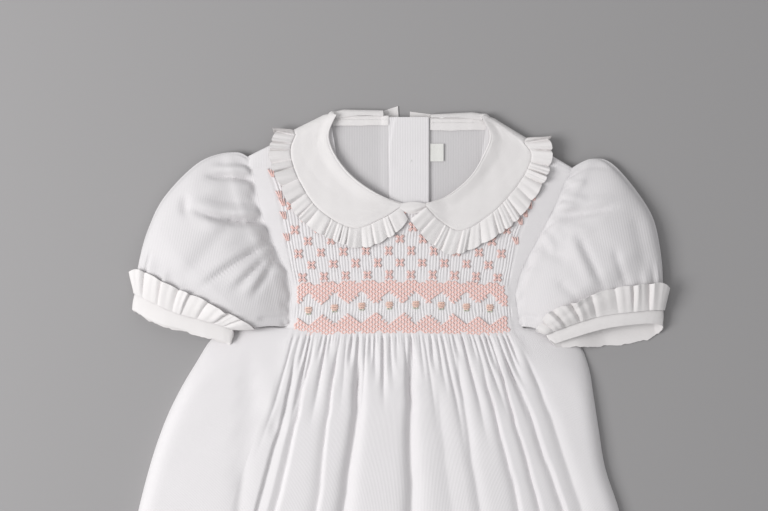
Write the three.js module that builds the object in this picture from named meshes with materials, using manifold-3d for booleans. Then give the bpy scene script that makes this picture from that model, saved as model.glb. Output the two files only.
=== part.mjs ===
// A baby romper with a smocked chest, laid flat on its back.
// Millimetres. X runs to the viewer's right, Y towards the neck, Z up from the surface it lies on.
// The origin is on the underside of the back, at the level of the underarms.
import * as THREE from 'three';
import { mergeVertices } from 'three/addons/utils/BufferGeometryUtils.js';
import Module from 'manifold-3d';

const wasm = await Module();
wasm.setup();

// ---------------------------------------------------------------- driving sizes

const CLOTH = 1.0; // thickness of one layer, with its seam allowances
const SEAM = 0.3; // gap between two pieces along a straight seam
const CURVED_SEAM = 0.95; // gap along an armhole or a leg, where two faceted curves meet
const REST = 1.1; // gap under a piece that lies on another, so that facets stay clear

const NECK_LIFT = 3.6; // how far the back is held up by the back collar and the buttons
const LIFT_START = 88; // y where the back starts to rise over the back collar's frill
const LIFT_END = 103; // y where it has risen

const LAP_LEFT = -17; // button lap, from here
const LAP_RIGHT = 18; // to here
const LAP_END = 30; // y where the back opening ends in the centre back seam
const CENTRE_SEAM = 2; // x of that seam
const LAP_RAMP = 7.2; // width over which the upper half climbs onto the lower one

const NECK_TOP = 179.4; // y of the back neck edge
const BINDING = 12.5; // height of the back neck binding

const CUFF_BAND = 13; // height of a cuff band
const CUFF_FRILL = 0.17; // share of the sleeve's length that the cuff frill covers
const LEG_BAND = 13; // height of a leg band
const COLLAR_FRILL = 19; // width of the collar frill

const BUTTON_ACROSS = 10;
const BUTTON_THICK = 1.8;
const BUTTON_LEVEL = 1.4; // underside of the buttons, over the back collar
const BUTTON_HEIGHTS = [168, 143, 118]; // y of each button
const BUTTON_X = 2.6;

const EDGE_ROLL = 14; // width over which the skirt rounds down to the surface
const UNDERARM_ROLL = 40; // the same where the skirt runs under the sleeve
const CHEST_ROLL = 24; // width over which the chest rounds down to the armhole seam

// The front and the back from the shoulders to the legs: the two side edges, the middle of each row,
// how high the front stands over the back's level, and how high its edge stands.
const BODY_ROWS = [
  { left_x: -137.0, left_y: 172, right_x: 141.5, right_y: 172, middle_y: 172, rise: 4.4, edge: 4.2 },
  { left_x: -136.3, left_y: 154, right_x: 140.5, right_y: 154, middle_y: 154, rise: 4.4, edge: 4.2 },
  { left_x: -133.4, left_y: 137, right_x: 138.2, right_y: 137, middle_y: 137, rise: 4.4, edge: 4.2 },
  { left_x: -130.1, left_y: 122, right_x: 131.8, right_y: 122, middle_y: 122, rise: 4.8, edge: 4.1 },
  { left_x: -127.6, left_y: 108, right_x: 126.2, right_y: 108, middle_y: 108, rise: 5.8, edge: 4.0 },
  { left_x: -123.3, left_y: 93, right_x: 119.0, right_y: 93, middle_y: 93, rise: 6.0, edge: 4.0 },
  { left_x: -117.2, left_y: 78, right_x: 111.4, right_y: 78, middle_y: 78, rise: 6.0, edge: 4.0 },
  { left_x: -110.2, left_y: 62, right_x: 102.6, right_y: 62, middle_y: 62, rise: 6.0, edge: 4.0 },
  { left_x: -102.6, left_y: 46, right_x: 95.6, right_y: 46, middle_y: 46, rise: 6.0, edge: 4.0 },
  { left_x: -100.4, left_y: 30, right_x: 92.2, right_y: 30, middle_y: 30, rise: 6.0, edge: 4.0 },
  { left_x: -101.2, left_y: 15, right_x: 94.0, right_y: 15, middle_y: 15, rise: 6.0, edge: 3.8 },
  { left_x: -103.4, left_y: 3, right_x: 97.0, right_y: 3, middle_y: 3, rise: 6.2, edge: 2.8 },
  { left_x: -124.0, left_y: -3, right_x: 110.5, right_y: -4, middle_y: -10, rise: 6.8, edge: 0 },
  { left_x: -146.0, left_y: -6, right_x: 128.0, right_y: -8, middle_y: -22, rise: 7.2, edge: 0 },
  { left_x: -165.5, left_y: -9.5, right_x: 145.0, right_y: -15, middle_y: -38, rise: 7.6, edge: 0 },
  { left_x: -181.0, left_y: -29, right_x: 153.8, right_y: -32, middle_y: -56, rise: 8.0, edge: 0 },
  { left_x: -194.0, left_y: -51, right_x: 158.2, right_y: -58, middle_y: -76, rise: 8.4, edge: 0 },
  { left_x: -206.0, left_y: -76, right_x: 162.5, right_y: -86, middle_y: -98, rise: 8.8, edge: 0 },
  { left_x: -218.0, left_y: -110, right_x: 168.0, right_y: -118, middle_y: -124, rise: 9.0, edge: 0 },
  { left_x: -229.5, left_y: -154, right_x: 179.5, right_y: -153, middle_y: -156, rise: 9.0, edge: 0 },
  { left_x: -236.0, left_y: -190, right_x: 187.0, right_y: -190, middle_y: -194, rise: 9.0, edge: 0 },
  { left_x: -232.0, left_y: -220, right_x: 184.0, right_y: -220, middle_y: -228, rise: 9.0, edge: 0 },
  { left_x: -215.0, left_y: -240, right_x: 168.0, right_y: -240, middle_y: -254, rise: 8.6, edge: 0 },
  { left_x: -204.0, left_y: -247, right_x: 158.0, right_y: -247, middle_y: -268, rise: 8.0, edge: 0 },
];
const ARMPIT_ROW = 11; // the row where the armholes end

// The largest folds of the skirt, by the place of the crest near the smocking, half-way and low down,
// the width of its left and right flanks, and its height.
const SKIRT_FOLDS = [
  { top: -140, middle: -168, low: -192, left: 22, right: 24, height: 2.6 },
  { top: -113, middle: -133, low: -154, left: 16, right: 18, height: 2.8 },
  { top: -96, middle: -108, low: -131, left: 14, right: 7, height: 4.0 },
  { top: -81, middle: -94, low: -115, left: 9, right: 7, height: 3.4 },
  { top: -61, middle: -69, low: -80, left: 12, right: 8, height: 3.4 },
  { top: -42, middle: -51.5, low: -63, left: 12, right: 7, height: 4.4 },
  { top: -33, middle: -38, low: -43, left: 7, right: 14, height: 4.4 },
  { top: -6, middle: -9, low: -13, left: 14, right: 8, height: 4.0 },
  { top: 8, middle: 12, low: 16, left: 8, right: 12, height: 4.8 },
  { top: 37, middle: 47, low: 58, left: 12, right: 9, height: 3.0 },
  { top: 62, middle: 77, low: 91, left: 10, right: 7, height: 3.6 },
  { top: 73, middle: 92, low: 109, left: 8, right: 7, height: 3.6 },
  { top: 82, middle: 106, low: 129, left: 9, right: 9, height: 3.8 },
  { top: 100, middle: 128, low: 152, left: 12, right: 13, height: 3.0 },
];

// Each leg's share of the body's lower edge.
const LEGS = [
  { side: 'left', start: 0.012, end: 0.452 },
  { side: 'right', start: 0.548, end: 0.988 },
];

// The shoulder fold runs from the sleeve to the neck; the shoulder piece's front seam lies below it.
// The collar's own lines run from the centre front round the neck to the shoulder fold.
const SIDES = {
  left: {
    sign: -1,
    fold: [[-137.5, 144.0], [-60.5, 182.2]],
    shoulder_seam: [[-142, 136.3], [-56, 142]],
    neck: [[-5.5, 106.5], [-28.3, 117.0], [-47.6, 131.0], [-61.5, 148.8], [-66.8, 166.0], [-60.5, 182.2]],
    collar_edge: [[-6.5, 104.6], [-21.8, 94.8], [-46.8, 86.8], [-75.3, 102.4], [-92.8, 128.4], [-99.3, 151], [-95.0, 165.2]],
    frill_edge: [[0.2, 93.6], [-17.3, 78], [-46, 70.5], [-88.2, 91.5], [-109.5, 126], [-117, 150], [-112.0, 166.5]],
    back_neck: [[-60.5, 182.2], [-40, 184.6], [-21, 183.6]],
    back_collar_edge: [[-95.0, 165.2], [-84, 140], [-50, 128], [-22, 140], [-20, 181.5]],
    back_frill_edge: [[-112.0, 160.5], [-96, 124], [-50, 109], [-6, 128], [-9.0, 188.5]],
    cap: [[-136.6, 145.6], [-150, 150.8], [-177, 142.2], [-205.5, 114.0], [-219.5, 87], [-228.0, 57], [-231.0, 31.5]],
    cuff_seam: [[-231.0, 31.5], [-199, 16.2], [-175, 9.4], [-148, 1.8]],
    underarm: [[-104.6, 3.2], [-118, 3.6], [-134, 2.0], [-148, 1.8]],
    band_front: [[-233.5, 18.0], [-212.5, 6.8], [-189.6, 0.9], [-146.5, -11.5]],
    band_back: [[-233.5, 16.5], [-212.5, 4.5], [-189.6, -1.5], [-146.5, -13.0]],
  },
  right: {
    sign: 1,
    fold: [[141.0, 134.0], [61.5, 180.6]],
    shoulder_seam: [[146, 133.2], [56, 140]],
    neck: [[14.5, 106.4], [33.7, 114.4], [52.2, 130.0], [63.0, 147.5], [69.0, 165.0], [61.5, 180.6]],
    collar_edge: [[15.4, 104.4], [27.2, 92.8], [45.5, 84.8], [72, 100.5], [95, 126.6], [104, 147], [97.5, 158.7]],
    frill_edge: [[1.6, 93.8], [22, 71.5], [44, 65.4], [88, 86.5], [115.5, 122], [123.0, 148], [120.0, 160.0]],
    back_neck: [[61.5, 180.6], [40, 183.0], [19, 182.6]],
    back_collar_edge: [[97.5, 158.7], [86, 137], [52, 125], [22, 137], [18.5, 180.5]],
    back_frill_edge: [[116.0, 152.5], [100, 121], [54, 106], [5, 125], [2.0, 184.6]],
    cap: [[140.8, 136.0], [158.6, 145.2], [174, 140.0], [195, 115.8], [208.8, 91.0], [214.8, 55], [215.8, 17.0]],
    cuff_seam: [[215.8, 17.0], [195.5, 16.4], [156.4, 11.0], [116.5, -2.6]],
    underarm: [[98.2, 3.2], [104, 2.6], [110, 0.6], [116.5, -2.6]],
    band_front: [[213.0, 5.5], [195.5, 5.6], [162.4, 0.9], [120.5, -12.0]],
    band_back: [[218.0, 1.0], [201, -8.5], [168, -13.5], [120.5, -14.0]],
  },
};

// The sleeve from the armhole (0) to the cuff (1) and the band's end (2): how high its top stands,
// and how high its underside is held up by the frill beneath it.
const SLEEVE_HEIGHTS = [
  { at: 0, top: 4.2, under: 0 },
  { at: 0.14, top: 15, under: 0 },
  { at: 0.36, top: 25, under: 0 },
  { at: 0.62, top: 25, under: 0 },
  { at: 0.8, top: 20, under: 2.0 },
  { at: 1, top: 15.5, under: 2.2 },
];
const SKIRT_UNDER_SLEEVE = 5.4; // how far the underarm edge is held up by the skirt beneath it
const CUFF_OPENING = 14.5; // height of the open end of a cuff band

const COLOURS = {
  ribbed: 0xe6e3e5,
  plain: 0xebe7e6,
  inside: 0xd8d5d6,
  tab: 0xf0efec,
  button: 0xf2f1ee,
};

// ---------------------------------------------------------------- small helpers

const lerp = THREE.MathUtils.lerp;
const ease = THREE.MathUtils.smoothstep;
const clamp = THREE.MathUtils.clamp;

function range(start, end, steps) {
  return Array.from({ length: steps + 1 }, (_, i) => lerp(start, end, i / steps));
}

function curve(points) {
  const spline = new THREE.SplineCurve(points.map(([x, y]) => new THREE.Vector2(x, y)));
  return (s) => spline.getPointAt(clamp(s, 0, 1));
}

// A named column of a table, read smoothly between its rows.
function column(table, name, position) {
  const row = clamp(Math.floor(position), 0, table.length - 2);
  const part = position - row;
  const value = (i) => table[clamp(i, 0, table.length - 1)][name];
  const [a, b, c, d] = [value(row - 1), value(row), value(row + 1), value(row + 2)];
  const start = (c - a) / 2;
  const end = (d - b) / 2;
  const square = part * part;
  const cube = square * part;
  return (
    (2 * cube - 3 * square + 1) * b + (cube - 2 * square + part) * start
    + (3 * square - 2 * cube) * c + (cube - square) * end
  );
}

function material(colour, roughness = 0.85) {
  return new THREE.MeshStandardMaterial({ color: colour, roughness, metalness: 0 });
}

function geometryOf(points, triangles) {
  const geometry = new THREE.BufferGeometry();
  geometry.setAttribute('position', new THREE.Float32BufferAttribute(points.flatMap((p) => [p.x, p.y, p.z]), 3));
  const volume = triangles.reduce(
    (sum, [a, b, c]) => sum + points[a].dot(new THREE.Vector3().crossVectors(points[b], points[c])), 0);
  geometry.setIndex(triangles.flatMap(([a, b, c]) => (volume > 0 ? [a, b, c] : [a, c, b])));
  return geometry;
}

// A wall of cloth: an outer face given by surface(u, v), and an inner face one thickness behind it.
// A ring closes on itself along u. The outer face points up at the place `top`.
function wall(surface, columns, rows, { ring = false, thickness = CLOTH, top } = {}) {
  const step = 1e-3;
  const uEnds = ring ? [-Infinity, Infinity] : [columns[0], columns.at(-1)];
  const vEnds = [Math.min(rows[0], rows.at(-1)), Math.max(rows[0], rows.at(-1))];
  const normalAt = (u, v) => {
    const across = surface(clamp(u + step, ...uEnds), v).sub(surface(clamp(u - step, ...uEnds), v));
    const along = surface(u, clamp(v + step, ...vEnds)).sub(surface(u, clamp(v - step, ...vEnds)));
    return across.cross(along).normalize();
  };
  const [topU, topV] = top ?? [columns[columns.length >> 1], rows[rows.length >> 1]];
  const outward = normalAt(topU, topV).z > 0 ? 1 : -1;
  const outer = [];
  const inner = [];
  for (const v of rows) {
    for (const u of columns) {
      const point = surface(u, v);
      outer.push(point);
      inner.push(point.clone().addScaledVector(normalAt(u, v), -thickness * outward));
    }
  }
  const points = [...outer, ...inner];
  const triangles = [];
  const across = columns.length;
  const spans = ring ? across : across - 1;
  const quad = (a, b, c, d) => triangles.push([a, b, c], [a, c, d]);
  for (let j = 0; j < rows.length - 1; j += 1) {
    for (let i = 0; i < spans; i += 1) {
      const corners = [
        j * across + i, j * across + (i + 1) % across, (j + 1) * across + (i + 1) % across, (j + 1) * across + i,
      ];
      quad(...corners);
      quad(...corners.map((k) => k + outer.length).reverse());
    }
  }
  const rim = (k, next) => quad(next, k, k + outer.length, next + outer.length);
  const last = (rows.length - 1) * across;
  for (let i = 0; i < spans; i += 1) {
    rim(i, (i + 1) % across);
    rim(last + (i + 1) % across, last + i);
  }
  if (!ring) {
    for (let j = 0; j < rows.length - 1; j += 1) {
      rim((j + 1) * across, j * across);
      rim(j * across + across - 1, (j + 1) * across + across - 1);
    }
  }
  return geometryOf(points, triangles);
}

function toSolid(geometry) {
  const bare = geometry.index ? geometry.clone() : geometry;
  bare.deleteAttribute('normal');
  bare.deleteAttribute('uv');
  const merged = mergeVertices(bare, 1e-5);
  return new wasm.Manifold(new wasm.Mesh({
    numProp: 3,
    vertProperties: new Float32Array(merged.attributes.position.array),
    triVerts: new Uint32Array(merged.index.array),
  }));
}

function toGeometry(solid) {
  const mesh = solid.getMesh();
  const geometry = new THREE.BufferGeometry();
  geometry.setAttribute('position', new THREE.BufferAttribute(new Float32Array(mesh.vertProperties), 3));
  geometry.setIndex(new THREE.BufferAttribute(new Uint32Array(mesh.triVerts), 1));
  return geometry;
}

// A tall block over a flat outline, for trimming a panel's edge.
function block(outline, low = -20, high = 60) {
  const shape = new THREE.Shape(outline.map(([x, y]) => new THREE.Vector2(x, y)));
  return toSolid(new THREE.ExtrudeGeometry(shape, { depth: high - low, bevelEnabled: false }).translate(0, 0, low));
}

// ---------------------------------------------------------------- levels that the pieces lie on

const lift = (y) => NECK_LIFT * ease(y, LIFT_START, LIFT_END);

const rounded = (distance, width) => Math.sqrt(1 - (1 - clamp(distance / width, 0, 1)) ** 2);

function skirtFolds(x, y) {
  const depth = clamp((-12 - y) / 142, 0, 1.6);
  const shown = ease(-y, 2, 34) * (1 - 0.55 * ease(-y, 200, 268));
  let height = 0;
  for (const fold of SKIRT_FOLDS) {
    const crest = depth < 0.5 ? lerp(fold.top, fold.middle, depth * 2) : lerp(fold.middle, fold.low, depth * 2 - 1);
    const flank = (x < crest ? fold.left : fold.right) * lerp(0.55, 1.1, clamp(depth, 0, 1));
    const share = Math.abs(x - crest) / flank;
    height = Math.max(height, share < 1 ? fold.height * (0.5 + 0.5 * Math.cos(Math.PI * share)) : 0);
  }
  return height * shown;
}

// Height of the open legs at the body's lower edge, for a share u of its width.
function legArch(u) {
  for (const leg of LEGS) {
    const share = (u - leg.start) / (leg.end - leg.start);
    if (share > 0 && share < 1) {
      return Math.sqrt(Math.sin(Math.PI * share));
    }
  }
  return 0;
}

// The lower edge of the body dips at the inner end of each leg and rises at the crotch.
const rowSag = (u) => 1 - Math.abs(2 * u - 1) ** 2.2;
const crotchRise = (u) => 7 * (1 - ease(Math.abs(u - 0.5), 0.02, 0.07));

// A point of a side edge, moved in square to the edge.
function sideEdge(side, v, inset) {
  const place = (at) => new THREE.Vector2(column(BODY_ROWS, `${side}_x`, at), column(BODY_ROWS, `${side}_y`, at));
  const step = 0.05;
  const last = BODY_ROWS.length - 1;
  const along = place(Math.min(v + step, last)).sub(place(Math.max(v - step, 0))).normalize();
  const inward = new THREE.Vector2(-along.y, along.x).multiplyScalar(side === 'left' ? inset : -inset);
  return place(v).add(inward);
}

// A point of the body in plan, for a share u across and a row position v.
function bodyPlan(u, v, inset = 0) {
  const left = sideEdge('left', v, inset);
  const right = sideEdge('right', v, inset);
  const point = left.lerp(right, u);
  const sag = column(BODY_ROWS, 'middle_y', v) - lerp(column(BODY_ROWS, 'left_y', v), column(BODY_ROWS, 'right_y', v), 0.5);
  const low = ease(v, BODY_ROWS.length - 4, BODY_ROWS.length - 1);
  point.y += sag * rowSag(u) + crotchRise(u) * low;
  return point;
}

function frontHeight(u, v, point) {
  const width = column(BODY_ROWS, 'right_x', v) - column(BODY_ROWS, 'left_x', v);
  const edge = column(BODY_ROWS, 'edge', v);
  const low = ease(v, BODY_ROWS.length - 3, BODY_ROWS.length - 1);
  const crown = CLOTH + SEAM + CLOTH + legArch(u) * (column(BODY_ROWS, 'rise', v) - 1);
  const rise = lerp(column(BODY_ROWS, 'rise', v), crown, low) + skirtFolds(point.x, point.y) * (1 - low);
  const under = lerp(CHEST_ROLL, UNDERARM_ROLL, ease(v, ARMPIT_ROW - 1, ARMPIT_ROW + 0.5));
  const roll = lerp(under, EDGE_ROLL, ease(v, ARMPIT_ROW + 2.5, ARMPIT_ROW + 5));
  const distance = Math.min(u, 1 - u) * width;
  return lift(point.y) + Math.max(0, edge) + (rise - Math.max(0, edge)) * rounded(distance, roll);
}

// The row position of a place on the chest, where the rows are level.
function chestRow(y) {
  let v = 0;
  while (v < ARMPIT_ROW - 1 && BODY_ROWS[v + 1].middle_y > y) {
    v += 1;
  }
  return v + clamp((BODY_ROWS[v].middle_y - y) / (BODY_ROWS[v].middle_y - BODY_ROWS[v + 1].middle_y), 0, 1);
}

// Level of the front's upper face at a place on the chest.
function chestLevel(x, y) {
  const v = chestRow(y);
  const left = column(BODY_ROWS, 'left_x', v);
  const right = column(BODY_ROWS, 'right_x', v);
  return frontHeight(clamp((x - left) / (right - left), 0, 1), v, new THREE.Vector2(x, y));
}

// ---------------------------------------------------------------- front and back

const parts = new THREE.Group();

function addPart(name, geometry, colour, roughness) {
  const mesh = new THREE.Mesh(geometry, material(colour, roughness));
  mesh.name = name;
  parts.add(mesh);
}

function lineThrough(points, side) {
  return side === 'left' ? points : [...points].reverse();
}

// The neck hole in plan: both neck lines, joined across the centre front and far above the back neck.
function neckOutline(grow) {
  const trace = (line) => range(0, 1, 14).map((s) => curve(line)(s)).map((p) => [p.x, p.y]);
  const left = trace(SIDES.left.neck).map(([x, y]) => [x - grow * 0.6, y - grow]).reverse();
  const right = trace(SIDES.right.neck).map(([x, y]) => [x + grow * 0.6, y - grow]);
  return [[-60, 240], ...left, ...right, [60, 240]];
}

// Everything beyond the two shoulder seams.
function aboveSeams(drop) {
  const seams = ['left', 'right'].flatMap((side) => lineThrough(SIDES[side].shoulder_seam, side));
  return [[-200, 240], [-200, seams[0][1] - drop], ...seams.map(([x, y]) => [x, y - drop]),
    [200, seams.at(-1)[1] - drop], [200, 240]];
}

function makeFront() {
  const edges = [0, 0.003, 0.014];
  const columns = [...edges, ...range(0.035, 0.965, 28), ...edges.map((u) => 1 - u).reverse()];
  const half = SEAM / 2;
  const surface = (u, v) => {
    const point = bodyPlan(u, v, half);
    return new THREE.Vector3(point.x, point.y, frontHeight(u, v, point));
  };
  const panel = toSolid(wall(surface, columns, range(0, BODY_ROWS.length - 1, BODY_ROWS.length - 1)));
  return toGeometry(panel.subtract(block(neckOutline(1))).subtract(block(aboveSeams(half))));
}

// The back's outer edge lies just inside the front's rounded edge below the armholes.
const backInset = (v) => lerp(SEAM / 2, CLOTH + SEAM + 0.9, ease(v, ARMPIT_ROW, ARMPIT_ROW + 0.6));

function foldBlock(side) {
  const [outer, neck] = SIDES[side].fold;
  const far = outer[0] + SIDES[side].sign * 40;
  return [outer, neck, [neck[0], 240], [far, 240], [far, outer[1] - 24]];
}

// Which half lies above the other over the button lap.
const climb = (x) => (CLOTH + SEAM) * ease(x, LAP_LEFT - LAP_RAMP, LAP_LEFT - 0.8);

function makeBackHalf(side) {
  const rows = range(0, BODY_ROWS.length - 1, BODY_ROWS.length - 1);
  const surface = (u, v) => {
    const point = bodyPlan(u, v, backInset(v));
    return new THREE.Vector3(point.x, point.y, lift(point.y) + CLOTH);
  };
  const panel = toSolid(wall(surface, range(0, 1, 6), rows));
  const half = SEAM / 2;
  const far = 300;
  const [lapEdge, seamEdge, away] = side === 'left' ? [LAP_LEFT - LAP_RAMP, CENTRE_SEAM - half, far] : [LAP_LEFT, CENTRE_SEAM + half, -far];
  const beyond = [[lapEdge, far], [lapEdge, LAP_END + half], [seamEdge, LAP_END - half], [seamEdge, -far],
    [away, -far], [away, far]];
  const neckEdge = [[-far, NECK_TOP], [far, NECK_TOP], [far, far], [-far, far]];
  const trimmed = panel.subtract(block(beyond)).subtract(block(neckEdge)).subtract(block(foldBlock(side)));
  const lapped = side === 'left' ? trimmed.add(toSolid(makeUpperLap())) : trimmed;
  return toGeometry(lapped.add(toSolid(makeShoulder(side)).subtract(block(neckOutline(1), NECK_LIFT + 2 * CLOTH))));
}

// The lap of the upper half, which climbs onto the lower half.
function makeUpperLap() {
  const surface = (u, v) => new THREE.Vector3(u, v, lift(v) + CLOTH + climb(u));
  const foot = LAP_LEFT - LAP_RAMP;
  return wall(surface, [foot - 0.4, foot + 1.5, foot + 3.2, foot + 5, LAP_LEFT - 0.8, LAP_RIGHT], lapRows(LAP_END + SEAM / 2));
}

// Rows over the lap, at the levels of the body's own rows, so that the layers bend alike.
function lapRows(end) {
  const levels = BODY_ROWS.map((row) => row.middle_y).filter((y) => y < NECK_TOP - 1 && y > end + 1);
  return [NECK_TOP, ...levels, end];
}

// The back's shoulder edge turns over at the shoulder fold and comes down to the seam on the front.
function makeShoulder(side) {
  const [outer, neck] = SIDES[side].fold.map(([x, y]) => new THREE.Vector2(x, y));
  const seam = curve(SIDES[side].shoulder_seam);
  const away = new THREE.Vector2().subVectors(neck, outer).normalize();
  const up = new THREE.Vector2(-away.y, away.x).multiplyScalar(side === 'left' ? 1 : -1);
  const bottom = NECK_LIFT;
  const surface = (u, v) => {
    const at = outer.clone().lerp(neck, lerp(0.05, 0.93, u));
    const top = chestLevel(at.x, at.y);
    const radius = (top - bottom) / 2;
    const angle = Math.PI * clamp(v, 0, 1);
    const place = at.clone().addScaledVector(up, radius * Math.sin(angle));
    const down = seam(lerp(0.11, 0.94, u)).add(new THREE.Vector2(0, SEAM / 2));
    if (v < 0) {
      place.lerp(down, -v);
    }
    if (v > 1) {
      place.addScaledVector(up, -(v - 1) * 3);
    }
    return new THREE.Vector3(place.x, place.y, bottom + radius + radius * Math.cos(angle));
  };
  return wall(surface, range(0, 1, 7), [-1, -0.5, 0, 0.17, 0.33, 0.5, 0.67, 0.83, 1, 2], { top: [0.5, -0.5] });
}

// The facing of the button lap, turned to the inside, on the upper half.
function makeLapFacing() {
  const level = (y) => lift(y) + 3 * CLOTH + 2 * SEAM;
  const surface = (u, v) => new THREE.Vector3(u, v, level(v));
  return wall(surface, [LAP_LEFT + 0.8, 0, LAP_RIGHT], lapRows(LAP_END + 4));
}

function makeBackBinding(side) {
  const upper = side === 'left';
  const [start, end] = upper ? [-57.5, LAP_LEFT + 0.5] : [LAP_RIGHT + 0.7, 57.5];
  const level = (x) => NECK_LIFT + 2 * CLOTH + SEAM + (upper ? climb(x) : 0);
  const surface = (u, v) => new THREE.Vector3(u, v, level(u));
  const columns = upper ? [start, -40, -24, -22, -20, -18.6, end] : [start, 40, end];
  return wall(surface, columns, [NECK_TOP, NECK_TOP - BINDING]);
}

function makeSizeTab() {
  const level = NECK_LIFT + CLOTH + SEAM + 0.9;
  const surface = (u, v) => new THREE.Vector3(u, v, level);
  return wall(surface, [LAP_RIGHT + 0.7, LAP_RIGHT + 12], [158, 143], { thickness: 0.8 });
}

function makeButton(y) {
  const button = new THREE.CylinderGeometry(BUTTON_ACROSS / 2, BUTTON_ACROSS / 2, BUTTON_THICK, 20);
  button.rotateX(Math.PI / 2);
  return toGeometry(toSolid(button.translate(BUTTON_X, y, BUTTON_LEVEL + BUTTON_THICK / 2)));
}

// ---------------------------------------------------------------- collar and its frill

// Places on a collar half: s runs 0 to 1 on the front, 1 to 2 over the shoulder fold, 2 to 3 on the back.
// w runs 0 to 1 from the neck to the collar's edge, and 1 to 2 across the frill.
function collarPlace(side, s, w, ripple) {
  const lines = SIDES[side];
  const front = clamp(s, 0, 1);
  const back = clamp(s - 2, 0, 1);
  const pick = (line, share) => curve(line)(share);
  const inFront = w <= 1
    ? pick(lines.neck, front).lerp(pick(lines.collar_edge, front), w)
    : pick(lines.collar_edge, front).lerp(pick(lines.frill_edge, front), w - 1);
  const behind = w <= 1
    ? pick(lines.back_neck, back).lerp(pick(lines.back_collar_edge, back), w)
    : pick(lines.back_collar_edge, back).lerp(pick(lines.back_frill_edge, back), w - 1);
  const turn = clamp(s - 1, 0, 1);
  const [outer, neck] = lines.fold.map(([x, y]) => new THREE.Vector2(x, y));
  const along = new THREE.Vector2().subVectors(neck, outer).normalize();
  const up = new THREE.Vector2(-along.y, along.x).multiplyScalar(side === 'left' ? 1 : -1);
  const plan = inFront.clone().lerp(behind, s <= 1 ? 0 : s >= 2 ? 1 : turn);
  const roll = 2.4 * (1 - ease(w, 0, 0.35)) * (s < 1 ? ease(front, 0, 0.25) : 1);
  const overlap = side === 'right' ? 2.6 * (1 - ease(s, 0.02, 0.2)) : 0;
  const top = chestLevel(inFront.x, inFront.y) + REST + CLOTH + roll + overlap + ripple;
  const lip = 5.2 * (1 - ease(w, 0.03, 0.12)) * ease(s, 2.1, 2.35);
  const bottom = lip;
  const radius = (top - bottom) / 2;
  const spring = w > 1 ? 4 * (w - 1) : 0;
  if (s > 1 && s < 2) {
    plan.addScaledVector(up, (radius + spring) * Math.sin(Math.PI * turn));
  }
  const z = s <= 1 ? top : s >= 2 ? bottom : bottom + radius + radius * Math.cos(Math.PI * turn);
  return new THREE.Vector3(plan.x, plan.y, z);
}

const COLLAR_ROWS = [...range(0, 1, 20), 1.2, 1.4, 1.6, 1.8, ...range(2, 3, 8)];

function makeCollar(side) {
  const surface = (u, v) => collarPlace(side, v, u, 0);
    return wall(surface, [0, 0.08, 0.3, 0.65, 1], COLLAR_ROWS, { top: [0.5, 0.5] });
}

function makeCollarFrill(side) {
  const start = 1 + CURVED_SEAM / COLLAR_FRILL;
  const ripple = (s, w) => (s < 1.05 ? 0.9 + 0.9 * Math.sin(s * 2 * Math.PI * 15) : 0) * (w - 1);
  const surface = (u, v) => collarPlace(side, v, u, Math.max(0, ripple(v, u)));
    return wall(surface, [start, 2], COLLAR_ROWS, { top: [1.5, 0.5] });
}

// ---------------------------------------------------------------- sleeves and cuffs

function sleevePlan(side, s, t) {
  const lines = SIDES[side];
  const cap = curve(lines.cap);
  const underarm = curve(lines.underarm);
  const cuff = curve(lines.cuff_seam);
  const name = side === 'left' ? 'left_x' : 'right_x';
  const start = lines.cap[0];
  const end = lines.underarm[0];
  const armhole = (share) => {
    const y = lerp(start[1], end[1], share);
    const edge = share === 0 ? start[0] : column(BODY_ROWS, name, chestRow(y)) + lines.sign * (CURVED_SEAM - SEAM / 2);
    return new THREE.Vector2(edge, y);
  };
  const ruled = cap(t).multiplyScalar(1 - s).add(underarm(t).multiplyScalar(s));
  const across = armhole(s).lerp(cuff(s), t);
  const corners = armhole(0).lerp(cuff(0), t).multiplyScalar(1 - s).add(armhole(1).lerp(cuff(1), t).multiplyScalar(s));
  return ruled.add(across).sub(corners);
}

function tableAt(table, name, at) {
  let row = 0;
  while (row < table.length - 2 && table[row + 1].at < at) {
    row += 1;
  }
  const share = (at - table[row].at) / (table[row + 1].at - table[row].at);
  return lerp(table[row][name], table[row + 1][name], ease(share, 0, 1));
}

// The sleeve as a tube: angle runs over the top from the cap edge to the underarm, then back underneath.
function sleevePoint(side, angle, t) {
  const share = (1 - Math.cos(angle)) / 2;
  const plan = sleevePlan(side, share, clamp(t, 0, 1));
  const seamed = 1 - ease(t, 0, 0.16);
  const overSkirt = SKIRT_UNDER_SLEEVE * ease(share, 0.5, 0.8) * (1 - seamed);
  const floor = lerp(tableAt(SLEEVE_HEIGHTS, 'under', t), lift(plan.y), seamed) + overSkirt;
  const ceiling = tableAt(SLEEVE_HEIGHTS, 'top', t) + lift(plan.y) * seamed;
  const middle = floor + Math.min(6, (ceiling - floor) * 0.45);
  const sine = Math.sin(angle);
  const z = sine >= 0
    ? middle + (ceiling - middle) * sine ** 0.8
    : middle - (middle - floor) * Math.min(1, -sine * 1.7);
  return new THREE.Vector3(plan.x, plan.y, z);
}

const RING = range(0, 2 * Math.PI, 20).slice(0, -1);

function makeSleeve(side) {
  const surface = (u, v) => sleevePoint(side, u, v);
  return wall(surface, RING, [0, 0.07, 0.18, 0.34, 0.56, 0.74, 0.87, 1], { ring: true, top: [Math.PI / 2, 0.5] });
}

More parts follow.
